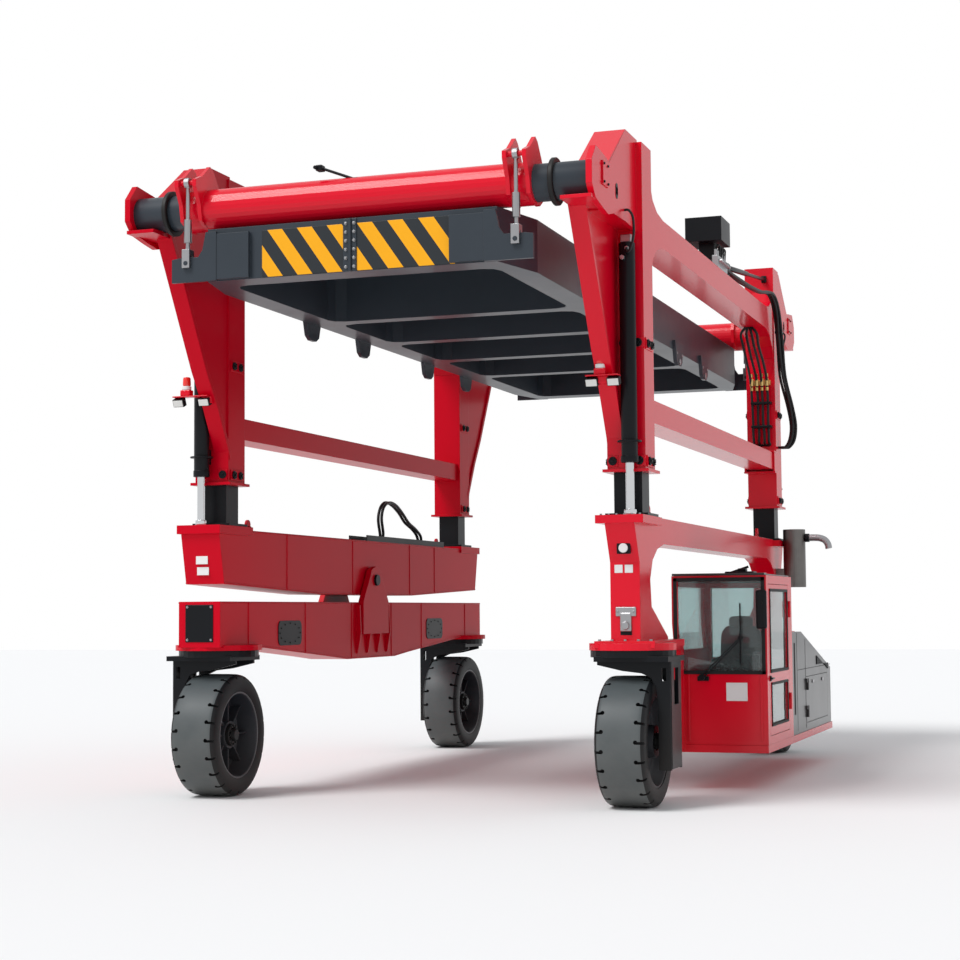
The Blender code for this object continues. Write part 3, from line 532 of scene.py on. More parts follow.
FINISHES["cab_glass"] = glass_finish("cab_glass", (0.62, 0.74, 0.74), 0.0)
FINISHES["seal_rubber"] = finish("seal_rubber", (0.012, 0.012, 0.013), 0.6, vary=0.2, dirt=0.1)
FINISHES["hose_rubber"] = finish("hose_rubber", (0.010, 0.010, 0.011), 0.42, vary=0.3, dirt=0.1, ripple=0.5,
                                 ripple_scale=500.0, radius=0.003)
FINISHES["label_white"] = finish("label_white", (0.80, 0.80, 0.79), 0.5, vary=0.06, dirt=0.1)
FINISHES["lamp_glass"] = finish("lamp_glass", (0.75, 0.75, 0.72), 0.15, coat=0.6, vary=0.15)
FINISHES["beacon_red"] = finish("beacon_red", (0.85, 0.03, 0.02), 0.12, coat=0.8, vary=0.1)
FINISHES["cab_lining"] = finish("cab_lining", (0.030, 0.031, 0.034), 0.7, vary=0.2, ripple=0.4,
                                ripple_scale=300.0)
FINISHES["buffer_rubber"] = finish("buffer_rubber", (0.012, 0.012, 0.012), 0.55, vary=0.3)
FINISHES["brass"] = finish("brass", (0.75, 0.52, 0.20), 0.3, metallic=1.0, vary=0.2)
print("small finishes ready")

# %% [markdown]
# A pane is a thin block, and its seal is four bars round the opening. Both are placed by the opening's
# corners in the frame.

# %% Panes and seals of the cab
PANE = 0.006
panes = (  # name, body, thin axis, place on that axis, low corner and high corner of the other two
    ("windscreen", "right_frame", "y", -1.575, (2.008, 1.103), (2.812, 1.952)),
    ("rear_window", "right_frame", "y", -0.245, (2.04, 1.20), (2.79, 1.90)),
    ("inner_side_window", "right_frame", "x", 1.975, (-1.48, 1.30), (-0.34, 1.90)),
    ("door_window", "cab_door_leaf", "x", 2.832, (-1.423, 1.102), (-0.497, 1.858)),
    ("door_lower_window", "cab_door_leaf", "x", 2.832, (-1.393, 0.602), (-0.527, 0.978)),
)


def spot(axis, depth, pair):
    """A place from its depth along the thin axis and the pair of other coordinates."""
    return at(depth, pair[0], pair[1]) if axis == "x" else at(pair[0], depth, pair[1])


def frame_bar(mesh, axis, depth, thick, low, high, width):
    """Four bars round an opening, overlapping at the corners."""
    (u0, v0), (u1, v1) = low, high
    for a, b in (((u0, v0), (u1, v0 + width)), ((u0, v1 - width), (u1, v1)), ((u0, v0), (u0 + width, v1)),
                 ((u1 - width, v0), (u1, v1))):
        block(mesh, spot(axis, depth - thick / 2, a), spot(axis, depth + thick / 2, b), 0.002, 1)


for name, body, axis, depth, low, high in panes:
    mesh = bmesh.new()
    block(mesh, spot(axis, depth - PANE / 2, low), spot(axis, depth + PANE / 2, high), 0.0015, 1)
    finished(mesh, name, body, "cab_glass")
print("panes:", [p[0] for p in panes])

# %% Seals round the panes
SEALS = (  # name, body, bars: (thin axis, place on it, thickness, low corner, high corner, width)
    ("windscreen_seal", "right_frame", (("y", -1.606, 0.012, (1.968, 1.078), (2.835, 1.982), 0.034),)),
    ("rear_window_seal", "right_frame", (("y", -0.214, 0.012, (2.02, 1.18), (2.81, 1.92), 0.025),)),
    ("door_window_seal", "cab_door_leaf", (("x", 2.853, 0.008, (-1.440, 1.085), (-0.480, 1.875), 0.026),
                                           ("x", 2.853, 0.008, (-1.410, 0.585), (-0.510, 0.995), 0.024))),
)
for name, body, bars in SEALS:
    mesh = bmesh.new()
    for bar in bars:
        frame_bar(mesh, *bar)
    finished(mesh, name, body, "seal_rubber")
print("seals fitted:", len(SEALS))

# %% [markdown]
# A driver's seat is stuffed, so its cushions are crowned and their corners pull in. Each cushion starts as
# a block; its faces are divided and pushed out most in the middle, and two sewn channels run across it.

# %% Driver's seat
def cushion(name, low, high, crown, lean=0.0, pivot=None):
    """A padded block whose faces swell towards their middles."""
    low, high = at(*low), at(*high)
    centre, half = (low + high) / 2, (high - low) / 2
    mesh = bmesh.new()
    bmesh.ops.create_cube(mesh, size=2)
    bmesh.ops.subdivide_edges(mesh, edges=mesh.edges, cuts=11, use_grid_fill=True)
    for v in mesh.verts:
        u = [v.co[i] for i in range(3)]
        fall = [math.cos(0.5 * math.pi * min(1, abs(c)) ** 2.2) for c in u]
        corner = 1 - 0.10 * (abs(u[0] * u[1]) ** 6 + abs(u[1] * u[2]) ** 6 + abs(u[0] * u[2]) ** 6)
        swell = [1 + crown * fall[(i + 1) % 3] * fall[(i + 2) % 3] / half[i] for i in range(3)]
        groove = 0.006 * math.exp(-((abs(u[0]) - 0.55) / 0.05) ** 2)
        v.co = Vector([centre[i] + (half[i] * corner * swell[i] - groove) * u[i] for i in range(3)])
    if lean:
        bmesh.ops.rotate(mesh, verts=mesh.verts, cent=at(*pivot), matrix=Matrix.Rotation(lean, 3, "X"))
    piece = finished(mesh, name, "right_frame", "seat_cloth", smooth=True)
    return piece


base = cushion("seat_cushion", (2.20, -0.96, 0.905), (2.60, -0.58, 0.985), 0.012)
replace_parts(base, "driver_seat")
cushion("seat_back", (2.21, -0.63, 1.02), (2.59, -0.55, 1.52), 0.012, math.radians(-9), (2.4, -0.60, 1.0))
cushion("seat_headrest", (2.29, -0.56, 1.51), (2.51, -0.51, 1.61), 0.008)
mesh = bmesh.new()
block(mesh, at(2.29, -0.90, 0.465), at(2.51, -0.66, 0.60), 0.02, 3)
block(mesh, at(2.32, -0.86, 0.60), at(2.48, -0.70, 0.82), 0.015, 3)
block(mesh, at(2.22, -0.92, 0.82), at(2.58, -0.60, 0.90), 0.015, 3)
drum(mesh, at(2.40, -0.545, 1.44), at(2.40, -0.54, 1.53), 0.012, sides=12)
for x in (2.185, 2.615):
    block(mesh, at(x - 0.025, -0.86, 1.10), at(x + 0.025, -0.60, 1.15), 0.015, 3)
    block(mesh, at(x - 0.012, -0.66, 0.84), at(x + 0.012, -0.61, 1.12), 0.004, 2)
finished(mesh, "seat_base", "right_frame", "machine_black")
print("seat upholstered")

# %% [markdown]
# Inside the cab the metal is covered by a dark lining, and a console with a steering wheel stands before
# the seat. They are only seen through glass, but without them the cab would read as an empty red box.

# %% Cab lining, console and wheel
mesh = bmesh.new()
block(mesh, at(2.095, -1.555, 0.468), at(2.805, -0.265, 0.480), 0.003, 1)
block(mesh, at(2.00, -1.555, 1.945), at(2.805, -0.265, 1.955), 0.003, 1)
block(mesh, at(2.04, -0.275, 0.48), at(2.805, -0.262, 1.19), 0.003, 1)
block(mesh, at(2.085, -1.557, 0.48), at(2.805, -1.545, 1.085), 0.003, 1)
finished(mesh, "cab_lining", "right_frame", "cab_lining")
mesh = bmesh.new()
block(mesh, at(2.24, -1.53, 0.482), at(2.56, -1.34, 1.02), 0.03, 3)
drum(mesh, at(2.40, -1.36, 0.98), at(2.40, -1.22, 1.10), 0.025, sides=16)
block(mesh, at(2.60, -1.50, 1.00), at(2.75, -1.42, 1.26), 0.01, 2)
finished(mesh, "driver_console", "right_frame", "machine_black")
mesh = bmesh.new()
bmesh.ops.create_circle(mesh, segments=12, radius=0.014, matrix=Matrix.Translation((0.17, 0, 0)) @
                        Matrix.Rotation(math.pi / 2, 4, "X"))
bmesh.ops.spin(mesh, geom=mesh.verts[:] + mesh.edges[:], axis=(0, 0, 1), cent=(0, 0, 0), steps=40,
               angle=2 * math.pi, use_merge=True)
drum(mesh, (0, 0, -0.02), (0, 0, 0.02), 0.045, sides=20, bevel=0.006)
for k in range(3):
    turn = Matrix.Rotation(2 * math.pi * k / 3 + 0.5, 4, "Z")
    drum(mesh, turn @ Vector((0.02, 0, 0)), turn @ Vector((0.165, 0, 0)), 0.010, sides=10)
WHEEL_TILT = Matrix.Rotation(math.radians(-48), 4, "X")
bmesh.ops.transform(mesh, matrix=Matrix.Translation(at(2.40, -1.21, 1.105)) @ WHEEL_TILT, verts=mesh.verts)
finished(mesh, "steering_wheel", "right_frame", "machine_black", smooth=True)
print("cab fitted out")

# %% [markdown]
# Outside the cab: the wiper crosses the windscreen on two arms, the mirror hangs at the front corner, and a
# lamp sits on the roof's skin. A blank plate is fixed below the glass, between two folded trims.

# %% Wiper, mirror, roof, plate and trims
mesh = bmesh.new()
for x in (0.0, 0.035):
    drum(mesh, at(2.22 + x, -1.632, 1.05), at(2.60 + x, -1.628, 1.42 + x * 0.4), 0.0065, sides=8)
drum(mesh, at(2.60, -1.622, 1.42), at(2.60, -1.645, 1.42), 0.016, sides=12)
block(mesh, at(2.598, -1.626, 1.16), at(2.612, -1.614, 1.74), 0.003, 1)
drum(mesh, at(2.235, -1.602, 1.05), at(2.235, -1.65, 1.05), 0.030, sides=16, bevel=0.004)
block(mesh, at(2.19, -1.625, 1.015), at(2.30, -1.603, 1.06), 0.006, 2)
finished(mesh, "windscreen_wiper", "right_frame", "machine_black")
mesh = bmesh.new()
block(mesh, at(2.765, -1.70, 1.50), at(2.868, -1.655, 1.86), 0.02, 4)
drum(mesh, at(2.82, -1.655, 1.80), at(2.835, -1.601, 1.86), 0.010, sides=10)
drum(mesh, at(2.82, -1.655, 1.56), at(2.835, -1.601, 1.52), 0.010, sides=10)
drum(mesh, at(2.82, -1.702, 1.74), at(2.82, -1.708, 1.74), 0.012, sides=12)
finished(mesh, "cab_mirror", "right_frame", "machine_black")
mesh = bmesh.new()
block(mesh, at(1.96, -1.63, 2.001), at(2.84, -1.50, 2.022), 0.006, 2)
block(mesh, at(1.97, -1.50, 2.001), at(2.83, -0.24, 2.014), 0.005, 2)
finished(mesh, "cab_roof_skin", "right_frame", "hood_grey")
mesh = bmesh.new()
block(mesh, at(2.38, -1.20, 2.014), at(2.66, -1.02, 2.045), 0.008, 2)
drum(mesh, at(2.42, -1.16, 2.03), at(2.60, -1.14, 2.09), 0.012, sides=10)
block(mesh, at(2.50, -1.18, 2.045), at(2.58, -1.08, 2.075), 0.01, 2)
finished(mesh, "cab_roof_lamp", "right_frame", "machine_black")
mesh = bmesh.new()
block(mesh, at(2.46, -1.6045, 0.83), at(2.66, -1.6005, 1.00), 0.0012, 1)
finished(mesh, "cab_plate", "right_frame", "label_white")
mesh = bmesh.new()
for x in (2.10, 2.79):
    block(mesh, at(x - 0.012, -1.607, 0.46), at(x + 0.012, -1.6005, 1.075), 0.003, 1)
for z in (0.52, 0.66, 0.80, 0.94):
    drum(mesh, at(2.745, -1.601, z), at(2.745, -1.606, z), 0.006, sides=8)
finished(mesh, "cab_front_trims", "right_frame", "frame_red")
print("cab dressed")

# %% Door handle
mesh = bmesh.new()
block(mesh, at(2.8505, -1.485, 1.01), at(2.862, -1.43, 1.06), 0.003, 2)
drum(mesh, at(2.868, -1.48, 1.035), at(2.868, -1.37, 1.035), 0.009, sides=12, bevel=0.003)
drum(mesh, at(2.862, -1.46, 1.035), at(2.868, -1.46, 1.035), 0.012, sides=12)
finished(mesh, "cab_door_handle", "cab_door_leaf", "machine_black")
print("door handle fitted")

# %% [markdown]
# The hood is folded sheet with an intake grille on its slope, a tall slot behind the cab, and lift-off side
# panels whose seams show as thin dark lines. Seams are modelled as shallow rubber strips laid in the joint.

# %% Hood: slot, grille, seams and latches
HOOD_X = 2.84                                     # the hood's outer face
HOOD_HIGH, HOOD_LOW = (0.38, 1.45), (2.34, 1.03)  # ends of its slope, as (y, z)
skin = HOOD_X + 0.0005
mesh = bmesh.new()
block(mesh, at(skin, -0.06, 0.62), at(HOOD_X + 0.004, -0.01, 1.34), 0.0015, 1)
for y, z0, z1 in ((0.10, 0.45, 1.44), (0.62, 0.45, 1.37)):
    block(mesh, at(skin, y, z0), at(HOOD_X + 0.002, y + 0.006, z1), 0.0008, 1)
block(mesh, at(skin, 0.10, 1.06), at(HOOD_X + 0.002, 2.32, 1.066), 0.0008, 1)
finished(mesh, "hood_seams", "right_frame", "seal_rubber")
mesh = bmesh.new()
for k in range(14):
    y = 1.36 + 0.058 * k
    top = HOOD_HIGH[1] - (y - HOOD_HIGH[0]) * 0.2143
    block(mesh, at(skin, y, 1.085), at(HOOD_X + 0.010, y + 0.030, top - 0.06), 0.003, 1)
finished(mesh, "hood_grille", "right_frame", "machine_black")
mesh = bmesh.new()
slope = math.atan2(HOOD_LOW[1] - HOOD_HIGH[1], HOOD_LOW[0] - HOOD_HIGH[0])
for k in range(16):
    y = 1.15 + 0.055 * k
    z = HOOD_HIGH[1] + (y - HOOD_HIGH[0]) * math.tan(slope)
    slat_at = Matrix.Translation(at(2.50, y, z + 0.001)) @ Matrix.Rotation(slope, 4, "X")
    placed(mesh, slat_at, block, (-0.22, -0.012, 0.0), (0.22, 0.012, 0.012), 0.004, 1)
finished(mesh, "hood_top_grille", "right_frame", "machine_black")
mesh = bmesh.new()
for y in (1.05, 1.70):
    block(mesh, at(skin, y, 0.90), at(HOOD_X + 0.010, y + 0.09, 0.935), 0.004, 2)
finished(mesh, "hood_latches", "engine_door_leaf", "link_steel")
print("hood dressed")

# %% [markdown]
# The masts slide on wear pads, and each pad has an adjuster: a round black cap held by four bolts. They
# come in two bands on every mast, one near its lower rim and one a metre above, on three of the four faces.

# %% Wear-pad adjusters on the masts
MAST_HALF = 0.17
PAD_BANDS = (2.965, 3.985)


def adjuster(mesh, foot, axis):
    """A round cap standing on a mast's face, with four bolts on it."""
    foot, axis = Vector(foot), Vector(axis)
    drum(mesh, foot + axis * 0.0005, foot + axis * 0.014, 0.038, sides=20, bevel=0.003)
    drum(mesh, foot + axis * 0.014, foot + axis * 0.026, 0.012, sides=6)
    for k in range(4):
        turn = Matrix.Rotation(math.pi * (k + 0.5) / 2, 3, axis)
        side = turn @ (Vector((0, 0, 1)) * 0.026)
        bolt(mesh, foot + axis * 0.014 + side, axis, 0.006, 0.007)


for corner, sx, sy in CORNERS:
    caps = bmesh.new()
    pads = bmesh.new()
    for z in PAD_BANDS:
        for x in (LINE - (0.118 if z < 3.1 else 0.010), LINE + 0.118):
            adjuster(caps, at(sx * x, sy * (MAST_Y + MAST_HALF + 0.010), z), (0, sy, 0))
            block(pads, at(sx * x - 0.045, sy * (MAST_Y + MAST_HALF + 0.0005), z - 0.05),
                  at(sx * x + 0.045, sy * (MAST_Y + MAST_HALF + 0.010), z + 0.05), 0.002, 1)
        for out in (-1, 1):
            x = sx * LINE + out * (MAST_HALF + 0.0005)
            for y in (sy * (MAST_Y - 0.055), sy * (MAST_Y + 0.075)):
                adjuster(caps, at(x + out * 0.010, y, z), (out, 0, 0))
            block(pads, at(x, sy * MAST_Y - 0.13, z - 0.05), at(x + out * 0.010, sy * MAST_Y + 0.13, z + 0.05),
                  0.002, 1)
    finished(caps, f"pad_adjusters_{corner}", "portal", "machine_black")
    # Doublers on the left masts take the darker red, which is painted shade.
    finished(pads, f"pad_doublers_{corner}", "portal", "frame_red" if sx > 0 else "painted_shade_red")
print("adjusters at", PAD_BANDS)

# %% [markdown]
# The rams are round, so they are turned again here with more sides: barrel, gland, flange and a polished
# rod. The cross bars are treated the same way, and get a rubber stop where the heads of the masts hold
# them.

# %% Rams and cross bars
BARREL = (2.94, 4.84)
RAM_X, RAM_Y, STRUT_Y = 2.04, 3.47, 3.371
for corner, sx, sy in CORNERS:
    cx, cy = sx * RAM_X, sy * RAM_Y
    mesh = bmesh.new()
    drum(mesh, at(cx, cy, BARREL[0]), at(cx, cy, BARREL[1]), 0.070, sides=48, bevel=0.004)
    drum(mesh, at(cx, cy, 3.115), at(cx, cy, 3.130), 0.105, sides=40, bevel=0.003)
    drum(mesh, at(cx, cy, BARREL[0] + 0.002), at(cx, cy, BARREL[0] + 0.06), 0.076, sides=48, bevel=0.004)
    for z0, z1 in ((3.06, 3.20), (4.62, 4.74)):
        near, far = sorted((sy * STRUT_Y, cy))
        block(mesh, at(cx - 0.05, near, z0), at(cx + 0.05, far, z1), 0.004, 1)
    piece = finished(mesh, f"ram_barrel_{corner}", "portal", "machine_black", smooth=True)
    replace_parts(piece, f"lift_barrel_{corner}")
    mesh = bmesh.new()
    drum(mesh, at(cx, cy, 2.492), at(cx, cy, 4.50), 0.038, sides=40)
    drum(mesh, at(cx, cy, 2.4905), at(cx, cy, 2.54), 0.055, sides=32, bevel=0.005)
    piece = finished(mesh, f"ram_rod_{corner}", "right_frame" if sx > 0 else "left_frame", "rod_chrome",
                     smooth=True)
    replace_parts(piece, f"lift_rod_{corner}")
    mesh = bmesh.new()
    block(mesh, at(cx - 0.05, cy - 0.045, BARREL[1]), at(cx + 0.05, cy + 0.045, BARREL[1] + 0.07), 0.008, 2)
    for dx, reach, z, radius in ((-0.02, 0.105, 4.70, 0.022), (0.02, 0.10, 4.78, 0.018)):
        x = cx + sx * dx
        drum(mesh, at(x, cy + sy * 0.04, z), at(x, cy + sy * reach, z), radius, sides=6)
    finished(mesh, f"ram_valve_{corner}", "portal", "link_steel")
for end, sy in (("front", -1), ("rear", 1)):
    mesh = bmesh.new()
    drum(mesh, at(-2.06, sy * BAR_Y, BAR_Z), at(2.06, sy * BAR_Y, BAR_Z), 0.155, sides=64, bevel=0.006)
    piece = finished(mesh, f"cross_bar_{end}_round", "portal", "spreader_charcoal", smooth=True)
    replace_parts(piece, f"cross_bar_{end}")
    for side, sx in (("left", -1), ("right", 1)):
        mesh = spun([(sx * p, r) for p, r in ((1.72, 0.1555), (1.72, 0.190), (1.726, 0.196), (1.754, 0.196),
                                              (1.76, 0.190), (1.76, 0.1555))], 64)
        bmesh.ops.translate(mesh, vec=at(0, sy * BAR_Y, BAR_Z), verts=mesh.verts)
        finished(mesh, f"bar_stop_{end}_{side}", "portal", "buffer_rubber", smooth=True)
print("rams and bars rounded")

# %% [markdown]
# Long plates are welded from shorter ones. The beads show as thin raised lines down the sides of the beams
# and along the edges of the rocker, and they follow each beam's own tapering underside.

# %% Weld beads, covers and lugs on the left side
def underside(points, y):
    """Height of a beam's underside at a distance from its middle, from (distance, height) points."""
    y = abs(y)
    for (y0, z0), (y1, z1) in zip(points, points[1:]):
        if y0 <= y <= y1:
            return z0 + (z1 - z0) * (y - y0) / (y1 - y0)
    return points[-1][1]


LEFT_UNDER = ((0, 1.87), (1.27, 1.87), (3.50, 1.95))
ROCKER_UNDER = ((0, 1.19), (0.67, 1.19), (1.13, 1.23), (2.95, 1.37), (3.62, 1.37))
BEADS = (  # name, body, near face, far face, top, underside, places along the beam
    ("left_beam_beads", "left_frame", -1.79, -2.18, 2.46, LEFT_UNDER, (-2.14, -0.48, 1.20, 2.02)),
    ("rocker_beads", "rocker", -1.77, -2.19, 1.79, ROCKER_UNDER, (-3.04, -1.75, -0.57, 0.57, 1.52, 3.04)),
)
for name, body, near, far, top, under, places in BEADS:
    mesh = bmesh.new()
    for face in (near, far):
        out = 1 if face == near else -1
        for y in places:
            low = underside(under, y)
            drum(mesh, at(face + out * 0.0015, y, low), at(face + out * 0.0015, y, top), 0.0055, sides=8)
        for (y0, z0), (y1, z1) in zip(under, under[1:]):
            for sign in (-1, 1):
                drum(mesh, at(face + out * 0.0015, sign * y0, z0 + 0.012),
                     at(face + out * 0.0015, sign * y1, z1 + 0.012), 0.005, sides=8)
        drum(mesh, at(face + out * 0.0015, -under[-1][0], top - 0.012),
             at(face + out * 0.0015, under[-1][0], top - 0.012), 0.005, sides=8)
    # The beads take the darker red that paints shade on the left side.
    finished(mesh, name, body, "painted_shade_red", smooth=True)
mesh = bmesh.new()
for y in (-2.12, 1.95):
    for face, out in ((-1.77, 1), (-2.19, -1)):
        low, high = at(face + out * 0.0005, y - 0.27, 1.365), at(face + out * 0.007, y + 0.27, 1.605)
        block(mesh, low, high, 0.0)
        rim = [e for e in mesh.edges if e.is_valid and all(
            low.y - 1e-4 <= v.co.y <= high.y + 1e-4 for v in e.verts)
            and abs(e.verts[0].co.x - e.verts[1].co.x) > 0.004]
        bmesh.ops.bevel(mesh, geom=rim, offset=0.06, segments=5, profile=0.5, affect="EDGES", material=-1,
                        clamp_overlap=True)
        for angle in (2 * math.pi * k / 12 for k in range(12)):
            foot = at(face + out * 0.007, y + 0.235 * math.cos(angle), 1.485 + 0.095 * math.sin(angle))
            bolt(mesh, foot, (out, 0, 0), 0.007, 0.006)
block(mesh, at(-2.12, -3.6275, 1.42), at(-1.84, -3.6205, 1.76), 0.002, 1)
block(mesh, at(-2.12, 3.6205, 1.42), at(-1.84, 3.6275, 1.76), 0.002, 1)
finished(mesh, "rocker_covers", "rocker", "machine_black")
mesh = bmesh.new()
for sy in (-1, 1):
    for x in (-2.10, -1.86):
        for z in (1.44, 1.74):
            bolt(mesh, at(x, sy * 3.6275, z), (0, sy, 0), 0.010, 0.007)
finished(mesh, "rocker_cover_bolts", "rocker", "link_steel")
print("beads and covers on")

# %% [markdown]
# Hydraulic hoses run in bundles. Each bundle is one solid in the frame; here it becomes separate strands on
# the same route. A strand is a tube swept along a smooth curve through the route's points.

# %% Hose strands
def tube(mesh, route, radius, sides=10, steps=5):
    """A closed tube on a smooth curve through the points of a route."""
    spots = [Vector(p) for p in route]
    ends = [2 * spots[0] - spots[1]] + spots + [2 * spots[-1] - spots[-2]]
    path = []
    for a, b, c, d in zip(ends, ends[1:], ends[2:], ends[3:]):
        for k in range(steps):
            t = k / steps
            path.append(0.5 * (2 * b + (c - a) * t + (2 * a - 5 * b + 4 * c - d) * t * t
                               + (3 * b - a - 3 * c + d) * t ** 3))
    path.append(spots[-1])
    rings, across = [], None
    for before, here, after in zip([ends[0]] + path, path, path[1:] + [ends[-1]]):
        along = (after - before).normalized()
        across = across - along * across.dot(along) if across else along.orthogonal()
        across.normalize()
        over = along.cross(across)
        rings.append([mesh.verts.new(here + radius * (math.cos(a) * across + math.sin(a) * over))
                      for a in (2 * math.pi * k / sides for k in range(sides))])
    mesh.faces.new(rings[0])
    mesh.faces.new(reversed(rings[-1]))
    for one, two in zip(rings, rings[1:]):
        for k in range(sides):
            mesh.faces.new((one[k], one[(k + 1) % sides], two[(k + 1) % sides], two[k]))


FACE_Y = MAST_Y - MAST_HALF
BUNDLES = (  # node, body, strand radius, sideways offsets (x, y), route
    ("hose_bundle_mast", "portal", 0.0155, ((-0.092, 0), (-0.030, 0.012), (0.032, 0), (0.090, 0.010)), (
        (1.97, 2.42, 4.9497), (1.97, 2.42, 4.87), (1.975, 2.52, 4.74), (1.98, 2.72, 4.58), (1.985, 2.90, 4.40),
        (1.99, FACE_Y - 0.07, 4.15), (1.995, FACE_Y - 0.07, 3.90), (2.0, FACE_Y - 0.085, 3.76),
        (2.0, FACE_Y - 0.08, 3.66), (2.0, FACE_Y - 0.045, 3.62), (2.0, FACE_Y - 0.0003, 3.62))),
    ("hose_bundle_beam", "portal", 0.0160,
     ((-0.030, 0.010), (0.030, 0.012), (0, -0.030), (0.004, 0.030), (0, 0)), (
        (2.0, 0.46, 5.2053), (2.0, 0.46, 5.275), (2.03, 0.58, 5.325), (2.08, 0.95, 5.295), (2.13, 1.60, 5.285),
        (2.16, 2.20, 5.315), (2.20, 2.62, 5.355), (2.225, 2.84, 5.185), (2.225, 3.0, 4.85), (2.235, 3.12, 4.45),
        (2.30, 3.19, 4.10), (2.33, 3.20, 3.86), (2.315, 3.20, 3.69), (2.26, 3.20, 3.61), (2.21, 3.20, 3.60),
        (2.1553, 3.20, 3.60))),
    ("hose_loop_left", "left_frame", 0.0170, ((-0.019, 0), (0.019, 0.006)), (
        (-1.95, 0.74, 2.4753), (-1.95, 0.74, 2.575), (-1.95, 0.69, 2.74), (-1.95, 0.76, 2.87), (-1.95, 0.92, 2.93),
        (-1.95, 1.12, 2.91), (-1.95, 1.32, 2.83), (-1.95, 1.52, 2.73), (-1.95, 1.74, 2.66), (-1.95, 1.90, 2.60),
        (-1.95, 1.95, 2.535), (-1.95, 1.95, 2.4753))),
)
sway = random.Random(7)
for name, body, radius, offsets, route in BUNDLES:
    mesh = bmesh.new()
    for dx, dy in offsets:
        strand = []
        for k, (x, y, z) in enumerate(route):
            from_end = min(k, len(route) - 1 - k)
            held = 1.0 if from_end else 0.35
            loose = 0.006 if from_end > 1 else 0
            strand.append(at(x + dx * held + sway.uniform(-loose, loose), y + (dy if from_end else 0),
                             z + sway.uniform(-loose, loose)))
        tube(mesh, strand, radius)
    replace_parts(finished(mesh, f"{name}_strands", body, "hose_rubber", smooth=True), name)
mesh = bmesh.new()
for x in (1.898, 1.958, 2.020, 2.078):
    drum(mesh, at(x, 2.925, 4.315), at(x, 2.925, 4.405), 0.023, sides=6, bevel=0.003)
    drum(mesh, at(x, 2.93, 4.26), at(x, 2.93, 4.30), 0.020, sides=20)
    drum(mesh, at(x, 2.91, 4.42), at(x, 2.90, 4.46), 0.020, sides=20)
block(mesh, at(1.87, 2.965, 4.33), at(2.11, 3.0295, 4.39), 0.004, 1)
finished(mesh, "hose_couplings", "portal", "brass")
mesh = bmesh.new()
for z, y in ((4.10, 2.955), (3.82, 2.955)):
    block(mesh, at(1.88, y - 0.022, z), at(2.12, 3.0295, z + 0.03), 0.004, 1)
block(mesh, at(2.18, 2.93, 4.93), at(2.27, 3.0, 4.96), 0.004, 1)
finished(mesh, "hose_clamps", "portal", "machine_black")
print("hose strands:", sum(len(row[3]) for row in BUNDLES))

# %% [markdown]
# Fittings of the masts: work lamps and a beacon on a small bracket at each leading strut, a bolted cover
# and an oval hand hole on each head, and short hoses from the head down to the ram's valve.

# %% Lamps, beacons, head covers and ram hoses
LAMPS = (  # corner, place of the beacon, places of the lamps, distance along
    ("front_left", -2.09, (-2.16, -1.90), -3.66), ("front_right", 1.86, (1.79, 1.98), -3.72))
HEAD_FACE, COVER_Y, HAND_HOLE_Y = 2.1025, 4.41, 4.03
for corner, bx, xs, y in LAMPS:
    mesh = bmesh.new()
    block(mesh, at(min(xs) - 0.05, y - 0.07, 3.660), at(max(xs) + 0.05, y + 0.03, 3.672), 0.004, 1)
    block(mesh, at(bx - 0.05, y - 0.05, 3.672), at(bx + 0.05, y + 0.03, 3.73), 0.01, 2)
    strut_x = math.copysign(1.88, bx)
    block(mesh, at(strut_x - 0.05, y - 0.03, 3.60), at(strut_x + 0.05, y + 0.06, 3.66), 0.004, 1)
    finished(mesh, f"lamp_bracket_{corner}", "portal", "frame_red")
    mesh = bmesh.new()
    drum(mesh, at(bx, y - 0.01, 3.73), at(bx, y - 0.01, 3.765), 0.042, sides=28, bevel=0.004)
    finished(mesh, f"beacon_base_{corner}", "portal", "label_white", smooth=True)
    mesh = bmesh.new()
    drum(mesh, at(bx, y - 0.01, 3.7655), at(bx, y - 0.01, 3.85), 0.038, 0.034, sides=28, bevel=0.014)
    finished(mesh, f"beacon_{corner}", "portal", "beacon_red", smooth=True)
    mesh, glass = bmesh.new(), bmesh.new()
    for x in xs:
        tilt = Matrix.Translation(at(x, y - 0.02, 3.62)) @ Matrix.Rotation(math.radians(24), 4, "X")
        for target, low, high, soft in ((mesh, (-0.056, -0.030, -0.040), (0.056, 0.030, 0.034), 0.008),
                                        (glass, (-0.048, -0.036, -0.033), (0.048, -0.0305, 0.027), 0.003)):
            placed(target, tilt, block, low, high, soft, 2)
    finished(mesh, f"work_lamps_{corner}", "portal", "machine_black")
    finished(glass, f"work_lamp_glass_{corner}", "portal", "lamp_glass")
RAM_HOSE = ((2.1005, 3.78, 5.06), (2.14, 3.78, 5.055), (2.165, 3.74, 5.00), (2.15, 3.66, 4.88),
            (2.11, 3.60, 4.78), (2.075, 3.575, 4.74), (2.06, 3.572, 4.78))
